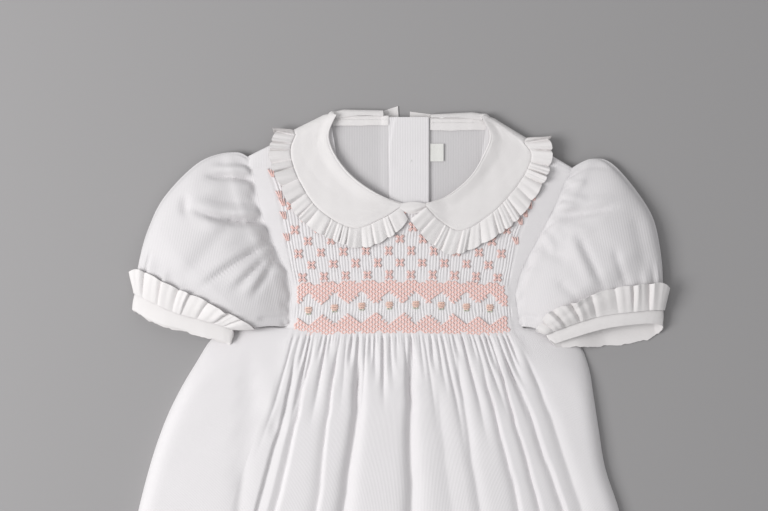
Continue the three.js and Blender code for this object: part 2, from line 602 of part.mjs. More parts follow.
function makeCuffBand(side) {
  const lines = SIDES[side];
  const front = curve(lines.band_front);
  const back = curve(lines.band_back);
  const surface = (u, v) => {
    const share = (1 - Math.cos(u)) / 2;
    const start = sleevePoint(side, u, 1);
    const low = (1 - Math.sin(u)) / 2;
    const edge = front(share).lerp(back(share), ease(low, 0.25, 0.75));
    const end = new THREE.Vector3(edge.x, edge.y, 0.2 + (CUFF_OPENING - 0.2) * ((start.z - 2.2) / 13.3));
    const gap = SEAM / CUFF_BAND;
    return start.lerp(end, lerp(gap, 1, v));
  };
  return wall(surface, RING, [0, 1], { ring: true, top: [Math.PI / 2, 0.5] });
}

function makeCuffFrill(side) {
  const step = 1e-3;
  const flare = 5;
  const surface = (u, v) => {
    const t = 1 - v * CUFF_FRILL;
    const point = sleevePoint(side, u, t);
    const across = sleevePoint(side, u + step, t).sub(sleevePoint(side, u - step, t));
    const along = sleevePoint(side, u, t - step).sub(sleevePoint(side, u, t + step));
    const normal = across.cross(along).normalize();
    const lifted = 0.5 + 0.5 * Math.sin(u);
    const wave = (0.6 + 0.6 * Math.sin(u * 12)) * v * lifted;
    const out = CLOTH + REST + v * flare * lifted * lifted + wave;
    return point.addScaledVector(normal, side === 'left' ? out : -out);
  };
  const ring = range(0, 2 * Math.PI, 32).slice(0, -1);
  return wall(surface, ring, [0.06, 0.5, 1], { ring: true, top: [Math.PI / 2, 0.5] });
}

// ---------------------------------------------------------------- leg bands

function makeLegBand(leg) {
  const last = BODY_ROWS.length - 1;
  const surface = (u, v) => {
    const share = (1 - Math.cos(u)) / 2;
    const across = lerp(leg.start, leg.end, share);
    const plan = bodyPlan(across, last, SEAM / 2);
    const top = frontHeight(across, last, plan) + 0.3;
    const middle = 1.6;
    const sine = Math.sin(u);
    const z = sine >= 0 ? Math.max(middle, lerp(middle, top, Math.min(1, sine * 3))) : middle * (1 - Math.min(1, -sine * 2));
    return new THREE.Vector3(plan.x, plan.y - CURVED_SEAM - v * LEG_BAND, z);
  };
  return wall(surface, RING, [0, 1], { ring: true, top: [Math.PI / 2, 0.5] });
}

// ---------------------------------------------------------------- the whole romper

addPart('front', makeFront(), COLOURS.ribbed);
addPart('back_left_half', makeBackHalf('left'), COLOURS.inside);
addPart('back_right_half', makeBackHalf('right'), COLOURS.inside);
addPart('lap_facing', makeLapFacing(), COLOURS.ribbed);
addPart('size_tab', makeSizeTab(), COLOURS.tab, 0.7);
BUTTON_HEIGHTS.forEach((y, i) => addPart(`button_${i + 1}`, makeButton(y), COLOURS.button, 0.35));
for (const side of ['left', 'right']) {
  addPart(`neck_binding_${side}`, makeBackBinding(side), COLOURS.plain);
  addPart(`collar_${side}`, makeCollar(side), COLOURS.plain);
  addPart(`collar_frill_${side}`, makeCollarFrill(side), COLOURS.plain);
  addPart(`sleeve_${side}`, makeSleeve(side), COLOURS.ribbed);
  addPart(`cuff_band_${side}`, makeCuffBand(side), COLOURS.plain);
  addPart(`cuff_frill_${side}`, makeCuffFrill(side), COLOURS.plain);
}
for (const leg of LEGS) {
  addPart(`leg_band_${leg.side}`, makeLegBand(leg), COLOURS.plain);
}

export default parts;
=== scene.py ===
"""A baby romper with a smocked chest, laid flat on its back.

Sizes inside the functions are in millimetres, in the frame's axes: X to the viewer's right,
Y towards the neck and Z up from the surface that the romper lies on.
"""
import math

import bpy
import numpy as np
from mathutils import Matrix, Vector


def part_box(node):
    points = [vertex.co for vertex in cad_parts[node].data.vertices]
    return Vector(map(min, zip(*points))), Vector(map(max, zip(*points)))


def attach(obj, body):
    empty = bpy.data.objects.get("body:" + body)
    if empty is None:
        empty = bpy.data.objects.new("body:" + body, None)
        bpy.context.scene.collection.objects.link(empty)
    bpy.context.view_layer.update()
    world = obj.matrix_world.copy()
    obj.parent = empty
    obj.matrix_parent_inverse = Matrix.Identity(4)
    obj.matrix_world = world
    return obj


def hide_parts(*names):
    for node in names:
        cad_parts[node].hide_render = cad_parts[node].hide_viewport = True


bl_info = {
    "name": "Smocked Baby Romper",
    "version": (1, 0, 0),
    "blender": (4, 5, 0),
    "location": "View3D > Sidebar > Romper",
    "description": "Models a smocked baby romper laid flat: front, collar, sleeves, frills and stitches",
    "category": "Add Mesh",
}

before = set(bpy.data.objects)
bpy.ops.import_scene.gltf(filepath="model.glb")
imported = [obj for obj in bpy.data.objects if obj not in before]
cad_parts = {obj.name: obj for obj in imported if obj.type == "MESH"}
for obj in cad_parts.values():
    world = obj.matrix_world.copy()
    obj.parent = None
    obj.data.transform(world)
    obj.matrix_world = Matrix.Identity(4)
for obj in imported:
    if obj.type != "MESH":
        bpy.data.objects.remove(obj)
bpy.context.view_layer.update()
MM = 0.001

# ---------------------------------------------------------------- sizes

CLOTH = 0.8  # thickness of one layer of the ribbed cloth
BACK_CLOTH = 0.7
COLLAR_CLOTH = 0.9
BAND_CLOTH = 1.0
FRILL_CLOTH = 0.6
TAB_CLOTH = 0.5
CAD_CLOTH = 1.0  # one layer in the frame
SEAM = 0.3
REST = 1.1  # gap under a piece that lies on another
CUT_EDGE = math.radians(62)  # the turn at which an edge of the cloth stays crisp

NECK_LIFT = 3.6  # how far the back is held up by the back collar and the buttons
LIFT_START = 88
LIFT_END = 103
LAP_LEFT = -17
LAP_RIGHT = 18
LAP_END = 30
LAP_RAMP = 7.2
CENTRE_SEAM = 2
NECK_TOP = 179.4
BINDING = 12.5
CUFF_FRILL = 19.5
LEG_BAND = 13
ROLL_SHARE = 0.16  # share of the back collar that rolls over the neck's edge
ROLL_TOP = {"left": (187.4, 186.4), "right": (185.4, 182.9)}  # Y of its crest at the shoulder and centre
SKIRT_UNDER_SLEEVE = 5.4
CUFF_OPENING = 14.5
EDGE_ROLL = 14
UNDERARM_ROLL = 40
CHEST_ROLL = 24
ARMPIT_ROW = 11
ARMHOLE_TUCK = 1.6  # how far the sleeve's edge goes in under the front's

PLEATS = 76  # pleats across the smocking
SMOCKING_WIDTH = 190.0
CROSS_SPACING = 18.8
TRELLIS_PITCH = 188 / PLEATS
TRELLIS_STEP = 1.9  # spacing of the trellis's rows
FLOWERET_REACH = 11.0  # how far beside a floweret the bands have drawn fully together
UPPER_BAND_FOOT = (34.0, 22.6)  # Y of the upper band's lower edge over a floweret and between two
LOWER_BAND_TOP = (5.6, 14.8)  # Y of the lower band's upper edge under a floweret and between two

SLEEVE_PAINTED_SHADE = 0.92  # painted shade: the sleeves' cloth beside the body's, darkened though it is the same cloth
ROSE = (1.0, 0.68, 0.57)
LEAF_GREEN = (0.60, 0.66, 0.48)
SEWING_WHITE = (0.80, 0.79, 0.78)
TAPE_WHITE = (0.80, 0.79, 0.76)
BUTTON_WHITE = (0.82, 0.81, 0.78)

# The stage, in metres.
FLOOR_SIZE = 8
FLOOR_LEVEL = -0.0004
CAMERA_PLACE = (-0.0204, 0.0633)
CAMERA_LENS = 85
CAMERA_SENSOR = 36
KEY_LAMP = {"place": (-1.35, -0.05, 1.3), "size": 0.9, "share": 1}
FILL_LAMP = {"place": (-0.3, 1.1, 1.9), "size": 1.6, "share": 0.12}
ROOM_COLOUR = (0.98, 0.99, 1.0, 1)
ROOM_STRENGTH = 0.48

# The body from the shoulders down, a column for each row: where its two sides and its middle lie, how
# high the row rises, and how high its edge is held.
BODY_ROWS = {
    "left_x": [-137, -136.3, -133.4, -130.1, -127.6, -123.3, -117.2, -110.2, -102.6, -100.4, -101.2, -103.4,
               -124, -146, -165.5, -181, -194, -206, -218, -229.5, -236, -232, -215, -204],
    "left_y": [172, 154, 137, 122, 108, 93, 78, 62, 46, 30, 15, 3,
               4, 3, -6, -29, -51, -76, -110, -154, -190, -220, -240, -247],
    "right_x": [141.5, 140.5, 138.2, 131.8, 126.2, 119, 111.4, 102.6, 95.6, 92.2, 94, 97,
                110.5, 128, 145, 153.8, 158.2, 162.5, 168, 179.5, 187, 184, 168, 158],
    "right_y": [172, 154, 137, 122, 108, 93, 78, 62, 46, 30, 15, 3,
                3, 1, -11, -32, -58, -86, -118, -153, -190, -220, -240, -247],
    "middle_y": [172, 154, 137, 122, 108, 93, 78, 62, 46, 30, 15, 3,
                 -10, -22, -38, -56, -76, -98, -124, -156, -194, -228, -254, -268],
    "rise": [4.4, 4.4, 4.4, 4.8, 5.8, 6, 6, 6, 6, 6, 6, 6.2,
             6.8, 7.2, 7.6, 8, 8.4, 8.8, 9, 9, 9, 9, 8.6, 8],
    "edge": [4.2, 4.2, 4.2, 4.1, 4, 4, 4, 4, 4, 4, 3.8, 2.8] + [0] * 12,
}
LAST_ROW = len(BODY_ROWS["rise"]) - 1

# Edges of the smocking, and below it of the gathers that spring from it.
GATHER_EDGES = {
    "y": [134, 115, 97, 77, 38, 0, -30, -60, -100, -154, -200, -268],
    "left": [-117, -110, -106.3, -103, -96, -99, -107, -116, -130, -152, -160, -140],
    "right": [118, 107, 99.5, 92, 85, 88.5, 101, 115, 130, 150, 155, 130],
}

# The skirt's valleys between its folds: where each lies near the smocking, at y = -70 and at y = -154,
# the y that it starts from, its width to the left and to the right there, and its depth.
SKIRT_VALLEYS = [
    {"top": -93.5, "middle": -104.5, "low": -128.7, "start": -16, "left": 2.0, "right": 7.0, "depth": 3.4},
    {"top": -78.2, "middle": -93.0, "low": -112.2, "start": -8, "left": 6.0, "right": 1.8, "depth": 3.4},
    {"top": -58.7, "middle": -67.0, "low": -77.4, "start": -10, "left": 6.0, "right": 1.6, "depth": 3.0},
    {"top": -38.8, "middle": -44.0, "low": -54.4, "start": -18, "left": 5.6, "right": 6.4, "depth": 6.4},
    {"top": 1.4, "middle": 1.6, "low": 3.0, "start": -8, "left": 5.6, "right": 7.4, "depth": 6.0},
    {"top": 20.0, "middle": 27.0, "low": 37.0, "start": -40, "left": 8.0, "right": 9.0, "depth": 1.5},
    {"top": 39.6, "middle": 48.0, "low": 61.2, "start": -16, "left": 5.0, "right": 6.0, "depth": 2.6},
    {"top": 56.0, "middle": 74.0, "low": 94.6, "start": -24, "left": 5.0, "right": 1.8, "depth": 3.4},
    {"top": 69.3, "middle": 89.0, "low": 112.0, "start": -8, "left": 4.0, "right": 1.6, "depth": 3.4},
    {"top": 74.8, "middle": 103.0, "low": 131.8, "start": -10, "left": 5.0, "right": 2.4, "depth": 3.6},
    {"top": 92.0, "middle": 120.0, "low": 146.8, "start": -12, "left": 7.0, "right": 6.0, "depth": 3.0},
    {"top": -134.0, "middle": -136.0, "low": -143.0, "start": -12, "left": 4.0, "right": 9.0, "depth": 2.3},
]

# Shares across the body's foot where each leg opening starts and ends.
LEGS = {"left": (0.012, 0.452), "right": (0.548, 0.988)}

# Outlines in plan of the pieces on each side.
SIDES = {
    "left": {
        "sign": -1,
        "fold": [(-137.5, 144.0), (-60.5, 182.2)],
        "neck": [(-5.5, 106.5), (-28.3, 117), (-47.6, 131), (-61.5, 148.8), (-66.8, 166), (-60.5, 182.2)],
        "collar_edge": [(-6.5, 104.6), (-21.8, 94.8), (-46.8, 86.8), (-75.3, 102.4), (-92.8, 128.4),
                        (-99.3, 151), (-95, 165.2)],
        "frill_edge": [(0.2, 93.6), (-17.3, 78), (-46, 70.5), (-88.2, 91.5), (-109.5, 126), (-117, 150),
                       (-111.5, 168.5)],
        "back_neck": [(-60.5, 182.2), (-40, 184.6), (-21, 183.6)],
        "back_collar_edge": [(-95, 165.2), (-84, 140), (-50, 128), (-24, 138), (-20.5, 160), (-20.3, 186.4)],
        "back_frill_edge": [(-112, 160.5), (-96, 124), (-50, 109), (-10, 124), (-7, 156), (-8.6, 190.2)],
        "cap": [(-136.6, 145.6), (-150, 150.8), (-177, 142.2), (-205.5, 114), (-219.5, 87), (-228, 57),
                (-231, 31.5)],
        "cuff_seam": [(-231, 31.5), (-199, 16.2), (-175, 9.4), (-148, 1.8)],
        "underarm": [(-104.6, 3.2), (-118, 3.6), (-134, 2), (-148, 1.8)],
        "band_front": [(-233.5, 18), (-212.5, 6.8), (-189.6, 0.9), (-146.5, -11.5)],
        "band_back": [(-233.5, 16.5), (-212.5, 4.5), (-189.6, -1.5), (-146.5, -13)],
    },
    "right": {
        "sign": 1,
        "fold": [(141, 134), (61.5, 180.6)],
        "neck": [(14.5, 106.4), (33.7, 114.4), (52.2, 130), (63, 147.5), (69, 165), (61.5, 180.6)],
        "collar_edge": [(15.4, 104.4), (27.2, 92.8), (45.5, 84.8), (72, 100.5), (95, 126.6), (104, 147),
                        (97.5, 158.7)],
        "frill_edge": [(1.6, 93.8), (22, 71.5), (44, 65.4), (86.5, 88.5), (113, 123), (121, 147),
                       (119, 162.5)],
        "back_neck": [(61.5, 180.6), (40, 183), (19, 182.6)],
        "back_collar_edge": [(97.5, 158.7), (86, 137), (52, 125), (22, 137), (18.5, 160), (18.7, 183.4)],
        "back_frill_edge": [(116, 152.5), (100, 121), (54, 106), (8, 122), (2, 156), (1.6, 185.6)],
        "cap": [(140.8, 136), (158.6, 145.2), (174, 140), (195, 115.8), (208.8, 91), (214.8, 55),
                (215.8, 17)],
        "cuff_seam": [(215.8, 17), (195.5, 16.4), (156.4, 11), (116.5, -2.6)],
        "underarm": [(98.2, 3.2), (104, 2.6), (110, 0.6), (116.5, -2.6)],
        "band_front": [(213, 5.5), (195.5, 5.6), (162.4, 0.9), (120.5, -12)],
        "band_back": [(218, 1), (201, -8.5), (168, -13.5), (120.5, -14)],
    },
}

SLEEVE_HEIGHTS = {"at": [0, 0.14, 0.36, 0.62, 0.8, 1], "top": [4.2, 15, 25, 25, 20, 15.5],
                  "under": [0, 0, 0, 0, 2, 2.2]}

# Creases of the puffed sleeves: start, middle and end in plan, width, and height (below 0, a trough).
SLEEVE_CREASES = {
    "left": [
        ((-131, 127), (-151, 132), (-174, 129.5), 2.4, -4.2),
        ((-132, 134), (-152, 138.5), (-170, 136), 3.4, 1.8),
        ((-130, 119), (-152, 123), (-176, 120), 6, 2.0),
        ((-122, 92.5), (-152, 90.5), (-190, 105), 3.0, -5.2),
        ((-127, 107), (-148, 110), (-184, 113), 3.4, -2.2),
        ((-186, 98), (-191, 106), (-184, 116), 4, -2.2),
        ((-124, 99), (-140, 99.5), (-158, 99), 3.4, 2.8),
        ((-122, 84), (-150, 84), (-184, 92), 5, 2.6),
        ((-150, 88), (-169, 65), (-192, 41), 6, -1.5),
        ((-121, 77), (-146, 66), (-178, 42), 5, 2.2),
        ((-119, 73), (-147, 56), (-179, 33), 3.0, -3.0),
        ((-117, 68), (-134, 55), (-158, 33), 4, 2.4),
        ((-116, 66), (-129, 51), (-150, 30), 3.0, -2.4),
        ((-115, 63), (-124, 47), (-142, 27), 4, 2.2),
        ((-114, 61), (-119, 45), (-134, 24), 3.2, -2.2),
        ((-104, 10), (-118, 10.5), (-129, 9), 2.4, -1.8),
        ((-138, 142), (-152, 144), (-166, 139), 3, -1.2),
    ],
    "right": [
        ((141, 136), (158, 140.5), (173, 138), 2.2, -1.4),
        ((136, 125), (144, 124), (152, 125), 2.6, 1.4),
        ((131, 114), (142, 112), (152, 110), 2.8, 1.6),
        ((128, 107), (136, 104), (146, 104), 2.6, 1.6),
        ((122, 98), (150, 97), (181, 107), 3.4, -3.8),
        ((126, 104), (150, 106), (176, 114), 5, 1.8),
        ((121, 91), (140, 84), (160, 86), 5, 2.2),
        ((116, 82), (121, 72), (124, 64), 3, 2.2),
        ((112, 74), (124, 62), (138, 58), 5, -2.2),
        ((119, 88), (127, 82), (134, 76), 3, 1.4),
        ((143, 78), (155, 56), (167, 30), 3.4, -2.6),
        ((136, 80), (146, 58), (156, 32), 5, 2.0),
        ((173, 68), (178, 50), (186, 34), 3.4, -2.0),
        ((190, 96), (198, 72), (200, 44), 7, -1.6),
        ((126, 42), (136, 32), (148, 22), 4, -1.8),
        ((104, 62), (99, 48), (94, 36), 2.4, -1.6),
        ((97, 12), (105, 11), (112, 9), 2.4, -1.4),
    ],
}

FLOWERETS = [(-84.3, 16.5), (-62.3, 18.6), (-39.2, 20.1), (-15.9, 21.0), (6.5, 21.4), (28.1, 20.7),
             (49.3, 19.4), (69.3, 18.6)]

# Short stitches along the smocking's sides, beside the collar's frill.
EDGE_MARKS = [(-115.0, 133.0), (-108.6, 115.0), (-106.0, 108.5), (-105.0, 97.5), (-102.6, 79.0),
              (105.6, 113.0), (102.6, 106.0), (99.0, 99.0), (95.0, 92.5), (91.5, 76.0)]

# ---------------------------------------------------------------- arithmetic


def lerp(a, b, t):
    """The value at share t of the way from a to b."""
    return a + (b - a) * t


def ease(x, start, end):
    """0 before start and 1 after end, with a smooth change between them."""
    t = np.clip((np.asarray(x, float) - start) / (end - start), 0, 1)
    return t * t * (3 - 2 * t)


def bell(x, centre, width):
    return np.exp(-((x - centre) / width) ** 2)


def grid(rows, columns):
    """Each row's and each column's value at every point of a grid."""
    return np.meshgrid(rows, columns, indexing="ij")


def around(count):
    """Angles round a ring: 0 and half a turn are its ends, and its top lies between them."""
    return np.linspace(0, 2 * np.pi, count + 1)[:-1]


def ring_share(angle):
    """Share of the way across a flattened ring at each angle round it."""
    return (1 - np.cos(angle)) / 2


def catmull(values, position):
    """A row of values read smoothly at positions between them."""
    values = np.asarray(values, float)
    row = np.clip(np.floor(position).astype(int), 0, len(values) - 2)
    t = np.asarray(position, float) - row
    if values.ndim == 2:
        t = t[..., None]
    take = lambda i: values[np.clip(i, 0, len(values) - 1)]
    a, b, c, d = take(row - 1), take(row), take(row + 1), take(row + 2)
    return ((2 * t**3 - 3 * t**2 + 1) * b + (t**3 - 2 * t**2 + t) * (c - a) / 2
            + (3 * t**2 - 2 * t**3) * c + (t**3 - t**2) * (d - b) / 2)


def curve(points, s):
    """Places at shares s of the length of a smooth line through the points."""
    dense = catmull(points, np.linspace(0, len(points) - 1, 40 * len(points)))
    length = np.concatenate([[0], np.cumsum(np.hypot(*np.diff(dense, axis=0).T))])
    s = np.clip(s, 0, 1) * length[-1]
    return np.stack([np.interp(s, length, dense[:, 0]), np.interp(s, length, dense[:, 1])], -1)


def wander(x, seed, size=1.0):
    """A smooth uneven line between -1 and 1, the same on every run."""
    rng = np.random.default_rng(seed)
    phases = rng.uniform(0, 2 * math.pi, 5)
    return sum(np.sin(np.asarray(x) / size * f + p) * w
               for f, p, w in zip((1, 1.7, 2.9, 4.3, 6.1), phases, (0.36, 0.26, 0.18, 0.12, 0.08)))


# ---------------------------------------------------------------- levels that the pieces lie on


def lift(y):
    """How far the back, and all that lies on it, is held up towards the neck."""
    return NECK_LIFT * ease(y, LIFT_START, LIFT_END)


def rounded(distance, width):
    """A quarter round: 0 at the edge, and 1 from width inwards."""
    return np.sqrt(1 - (1 - np.clip(distance / width, 0, 1)) ** 2)


def side_edge(side, v, inset):
    """The body's side at row v, moved inwards."""
    def place(at):
        return np.stack([catmull(BODY_ROWS[side + "_x"], at), catmull(BODY_ROWS[side + "_y"], at)], -1)
    step = 0.05
    along = place(np.minimum(v + step, LAST_ROW)) - place(np.maximum(v - step, 0))
    along /= np.linalg.norm(along, axis=-1, keepdims=True)
    inward = np.stack([-along[..., 1], along[..., 0]], -1) * (inset if side == "left" else -inset)
    return place(v) + inward


def body_plan(u, v, inset=0.0):
    """Places on the body in plan: u runs across from the left side, and v down its rows."""
    left, right = side_edge("left", v, inset), side_edge("right", v, inset)
    point = left + (right - left) * u[..., None]
    sides = catmull(BODY_ROWS["left_y"], v) + catmull(BODY_ROWS["right_y"], v)
    sag = catmull(BODY_ROWS["middle_y"], v) - sides / 2
    low = ease(v, LAST_ROW - 3, LAST_ROW)
    crotch = 7 * (1 - ease(np.abs(u - 0.5), 0.02, 0.07))
    point[..., 1] += sag * (1 - np.abs(2 * u - 1) ** 2.2) + crotch * low
    return point


def skirt_folds(x, y):
    """Height of the skirt's folds, as a full roundness less the valleys between them."""
    low = ease(-y, 200, 262)
    height = 3.4 * ease(-y, 2, 40)
    lost = np.zeros_like(x)
    for valley in SKIRT_VALLEYS:
        stops = [-154, -70, -6]
        centre = np.interp(y, stops, [valley["low"], valley["middle"], valley["top"]])
        centre = centre + (y < -154) * (y + 154) * (valley["middle"] - valley["low"]) / 84 * 0.35
        centre = centre + 1.1 * wander(y, int(valley["top"]) + 400, 16)
        wide = np.interp(-y, [6, 70, 154], [0.3, 0.62, 1.0])
        side = np.where(x < centre, valley["left"], valley["right"]) * wide
        shape = np.exp(-(np.abs(x - centre) / side) ** 1.5)
        grown = ease(-y, -valley["start"], -valley["start"] + 30)
        lost = np.maximum(lost, valley["depth"] * shape * grown)
    dimple = 2.2 * bell(x, -113, 5) * bell(y, -80, 7)
    ridge = 1.6 * bell(x, -116.5, 6) * bell(y, -55, 22)
    return (height - lost - dimple + ridge) * (1 - 0.7 * low)


def leg_arch(u):
    """1 over the middle of each leg opening, down to 0 at its ends."""
    arch = np.zeros_like(u)
    for start, end in LEGS.values():
        share = np.clip((u - start) / (end - start), 0, 1)
        arch = np.maximum(arch, np.sqrt(np.maximum(np.sin(np.pi * share), 0)))
    return arch


def front_height(u, v, x, y):
    """Height of the front's outer face before its pleats and gathers."""
    width = catmull(BODY_ROWS["right_x"], v) - catmull(BODY_ROWS["left_x"], v)
    edge = np.maximum(catmull(BODY_ROWS["edge"], v), 0)
    low = ease(v, LAST_ROW - 2, LAST_ROW)
    rise = catmull(BODY_ROWS["rise"], v)
    crown = 2 * CAD_CLOTH + SEAM + leg_arch(u) * (rise - 1)
    rise = lerp(rise, crown, low) + skirt_folds(x, y) * (1 - low)
    under = lerp(CHEST_ROLL, UNDERARM_ROLL, ease(v, ARMPIT_ROW - 1, ARMPIT_ROW + 0.5))
    roll = lerp(under, EDGE_ROLL, ease(v, ARMPIT_ROW + 2.5, ARMPIT_ROW + 5))
    distance = np.minimum(u, 1 - u) * width
    return lift(y) + edge + (rise - edge) * rounded(distance, roll)


def chest_row(y):
    """The body's row at each y of the chest."""
    levels = np.array(BODY_ROWS["middle_y"][:ARMPIT_ROW + 1], float)
    return np.interp(-np.asarray(y, float), -levels, np.arange(ARMPIT_ROW + 1))


def chest_level(x, y):
    """Height of the chest at a place in plan."""
    v = chest_row(y)
    left, right = catmull(BODY_ROWS["left_x"], v), catmull(BODY_ROWS["right_x"], v)
    return front_height(np.clip((x - left) / (right - left), 0, 1), v, x, y)


def gather_edges(y):
    """X of the left and right edges of the smocking, or of the gathers below it."""
    down = -np.array(GATHER_EDGES["y"])
    return (np.interp(-np.asarray(y, float), down, GATHER_EDGES[side]) for side in ("left", "right"))


def gather_place(x, y):
    """Share of the way across the smocking, or across the gathers below it."""
    left, right = gather_edges(y)
    return (x - left) / (right - left)


# ---------------------------------------------------------------- meshes


def make_object(name, points, faces):
    """A smooth mesh from points in millimetres."""
    name += "_cloth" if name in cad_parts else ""
    mesh = bpy.data.meshes.new(name)
    mesh.from_pydata((np.asarray(points) * MM).tolist(), [], faces)
    mesh.update()
    piece = bpy.data.objects.new(name, mesh)
    bpy.context.scene.collection.objects.link(piece)
    mesh.polygons.foreach_set("use_smooth", [True] * len(mesh.polygons))
    return piece


def select_only(piece):
    bpy.ops.object.select_all(action="DESELECT")
    piece.select_set(True)
    bpy.context.view_layer.objects.active = piece


def apply_modifier(piece, kind, **settings):
    """Add a modifier with its settings, and apply it."""
    select_only(piece)
    modifier = piece.modifiers.new(kind.title(), kind)
    for key, value in settings.items():
        setattr(modifier, key, value)
    bpy.ops.object.modifier_apply(modifier=modifier.name)


def cloth_grid(name, points, place, ring=False, keep=None):
    """A sheet without thickness from a grid of points, with its flat place in millimetres on every point."""
    rows, across = points.shape[:2]
    index = np.arange(rows * across).reshape(rows, across)
    following = np.roll(index, -1, 1) if ring else index[:, 1:]
    here = index if ring else index[:, :-1]
    quads = np.stack([here[:-1], following[:-1], following[1:], here[1:]], -1)
    middle = quads[len(quads) // 2, quads.shape[1] // (4 if ring else 2)]
    flat = points.reshape(-1, 3)
    a, b, c = (flat[middle[i]] for i in (0, 1, 3))
    if np.cross(b - a, c - a)[2] < 0:
        quads = quads[..., ::-1]
    if keep is not None:
        quads = quads[keep]
    quads = quads.reshape(-1, 4)
    used = np.unique(quads)
    renumber = np.zeros(len(flat), int)
    renumber[used] = np.arange(len(used))
    piece = make_object(name, flat[used], renumber[quads].tolist())
    layer = piece.data.attributes.new("cloth", "FLOAT_VECTOR", "POINT")
    laid = np.zeros((len(used), 3))
    laid[:, :place.shape[-1]] = place.reshape(-1, place.shape[-1])[used]
    layer.data.foreach_set("vector", laid.ravel())
    return piece


def cloth_piece(name, *grids, thickness=CLOTH, **shape):
    """A piece of cloth from one grid, or from several that are joined, with its thickness."""
    if not isinstance(grids[0], tuple):
        grids = [grids]
    parts = [cloth_grid(name, *grid, **shape) for grid in grids]
    if len(parts) > 1:
        select_only(parts[0])
        for part in parts[1:]:
            part.select_set(True)
        bpy.ops.object.join()
    apply_modifier(parts[0], "SOLIDIFY", thickness=thickness * MM, offset=-1, use_even_offset=False)
    select_only(parts[0])
    bpy.ops.object.shade_smooth_by_angle(angle=CUT_EDGE)
    return parts[0]


def dress(piece, look, nodes=()):
    """Give a piece its finish, and let it take the place of the frame's nodes."""
    piece.data.materials.clear()
    piece.data.materials.append(material(look))
    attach(piece, "root")
    if nodes:
        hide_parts(*nodes)
    return piece


def sewn(name, look, *grids, **cloth):
    """A finished piece of cloth, in place of the node of its name."""
    nodes = [name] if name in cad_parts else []
    return dress(cloth_piece(name, *grids, **cloth), look, nodes)


# ---------------------------------------------------------------- materials


class Socket:
    """A shader value that adds its own Math nodes in arithmetic."""

    def __init__(self, tree, output):
        self.tree = tree
        self.output = output

    def math(self, operation, other=None, third=None):
        node = self.tree.nodes.new("ShaderNodeMath")
        node.operation = operation
        for i, value in enumerate((self, other, third)):
            if isinstance(value, Socket):
                self.tree.links.new(value.output, node.inputs[i])
            elif value is not None:
                node.inputs[i].default_value = value
        return Socket(self.tree, node.outputs[0])

    def __add__(self, other):
        return self.math("ADD", other)

    def __sub__(self, other):
        return self.math("SUBTRACT", other)

    def __mul__(self, other):
        return self.math("MULTIPLY", other)

    def __truediv__(self, other):
        return self.math("DIVIDE", other)

    def __rsub__(self, other):
        return (self * -1).math("ADD", other)

    __radd__ = __add__
    __rmul__ = __mul__

    def sine(self):
        return self.math("SINE")

    def power(self, exponent):
        return self.math("POWER", exponent)


class Finish:
    """A material being built, with its Principled shader."""

    MIX_COLOURS = (6, 7)  # the sockets of a Mix node that hold its two colours
    MIX_RESULT = 2

    def __init__(self, name, colour, roughness, **constants):
        self.material = bpy.data.materials.new(name)
        self.material.use_nodes = True
        self.material.diffuse_color = (*colour, 1)
        self.tree = self.material.node_tree
        self.shader = self.tree.nodes["Principled BSDF"]
        self.shader.inputs["Base Color"].default_value = (*colour, 1)
        self.shader.inputs["Roughness"].default_value = roughness
        for key, value in constants.items():
            self.shader.inputs[key.replace("_", " ").title()].default_value = value

    def node(self, kind, settings=None, inputs=None, output=0):
        """Add a node: its settings first, then the values or links of its sockets."""
        node = self.tree.nodes.new(kind)
        for key, value in (settings or {}).items():
            setattr(node, key, value)
        for key, value in (inputs or {}).items():
            if isinstance(value, Socket):
                self.tree.links.new(value.output, node.inputs[key])
            else:
                node.inputs[key].default_value = value
        return Socket(self.tree, node.outputs[output])

    def feed(self, name, value):
        self.tree.links.new(value.output, self.shader.inputs[name])

    def with_numbers(self, place):
        """A place, and its first two numbers."""
        first = self.node("ShaderNodeSeparateXYZ", inputs={"Vector": place})
        return place, first, Socket(self.tree, first.output.node.outputs[1])

    def cloth_place(self):
        """The flat place on the cloth, in millimetres."""
        return self.with_numbers(self.node("ShaderNodeAttribute", {"attribute_name": "cloth"}, output=1))

    def object_place(self):
        """The place on the object, in metres."""
        return self.with_numbers(self.node("ShaderNodeTexCoord", output=3))

    def noise(self, place, scale, detail=3.0):
        return self.node("ShaderNodeTexNoise", {}, {"Vector": place, "Scale": scale, "Detail": detail})

    def blend(self, factor, first, second):
        """Colour the surface between two colours."""
        inputs = {"Factor": factor, self.MIX_COLOURS[0]: (*first, 1), self.MIX_COLOURS[1]: (*second, 1)}
        self.feed("Base Color", self.node("ShaderNodeMix", {"data_type": "RGBA"}, inputs, self.MIX_RESULT))

    def bump(self, height, distance, strength=1.0):
        inputs = {"Strength": strength, "Distance": distance, "Height": height}
        self.feed("Normal", self.node("ShaderNodeBump", {}, inputs))


def shade(colour, share):
    return tuple(min(1.0, c * share) for c in colour)


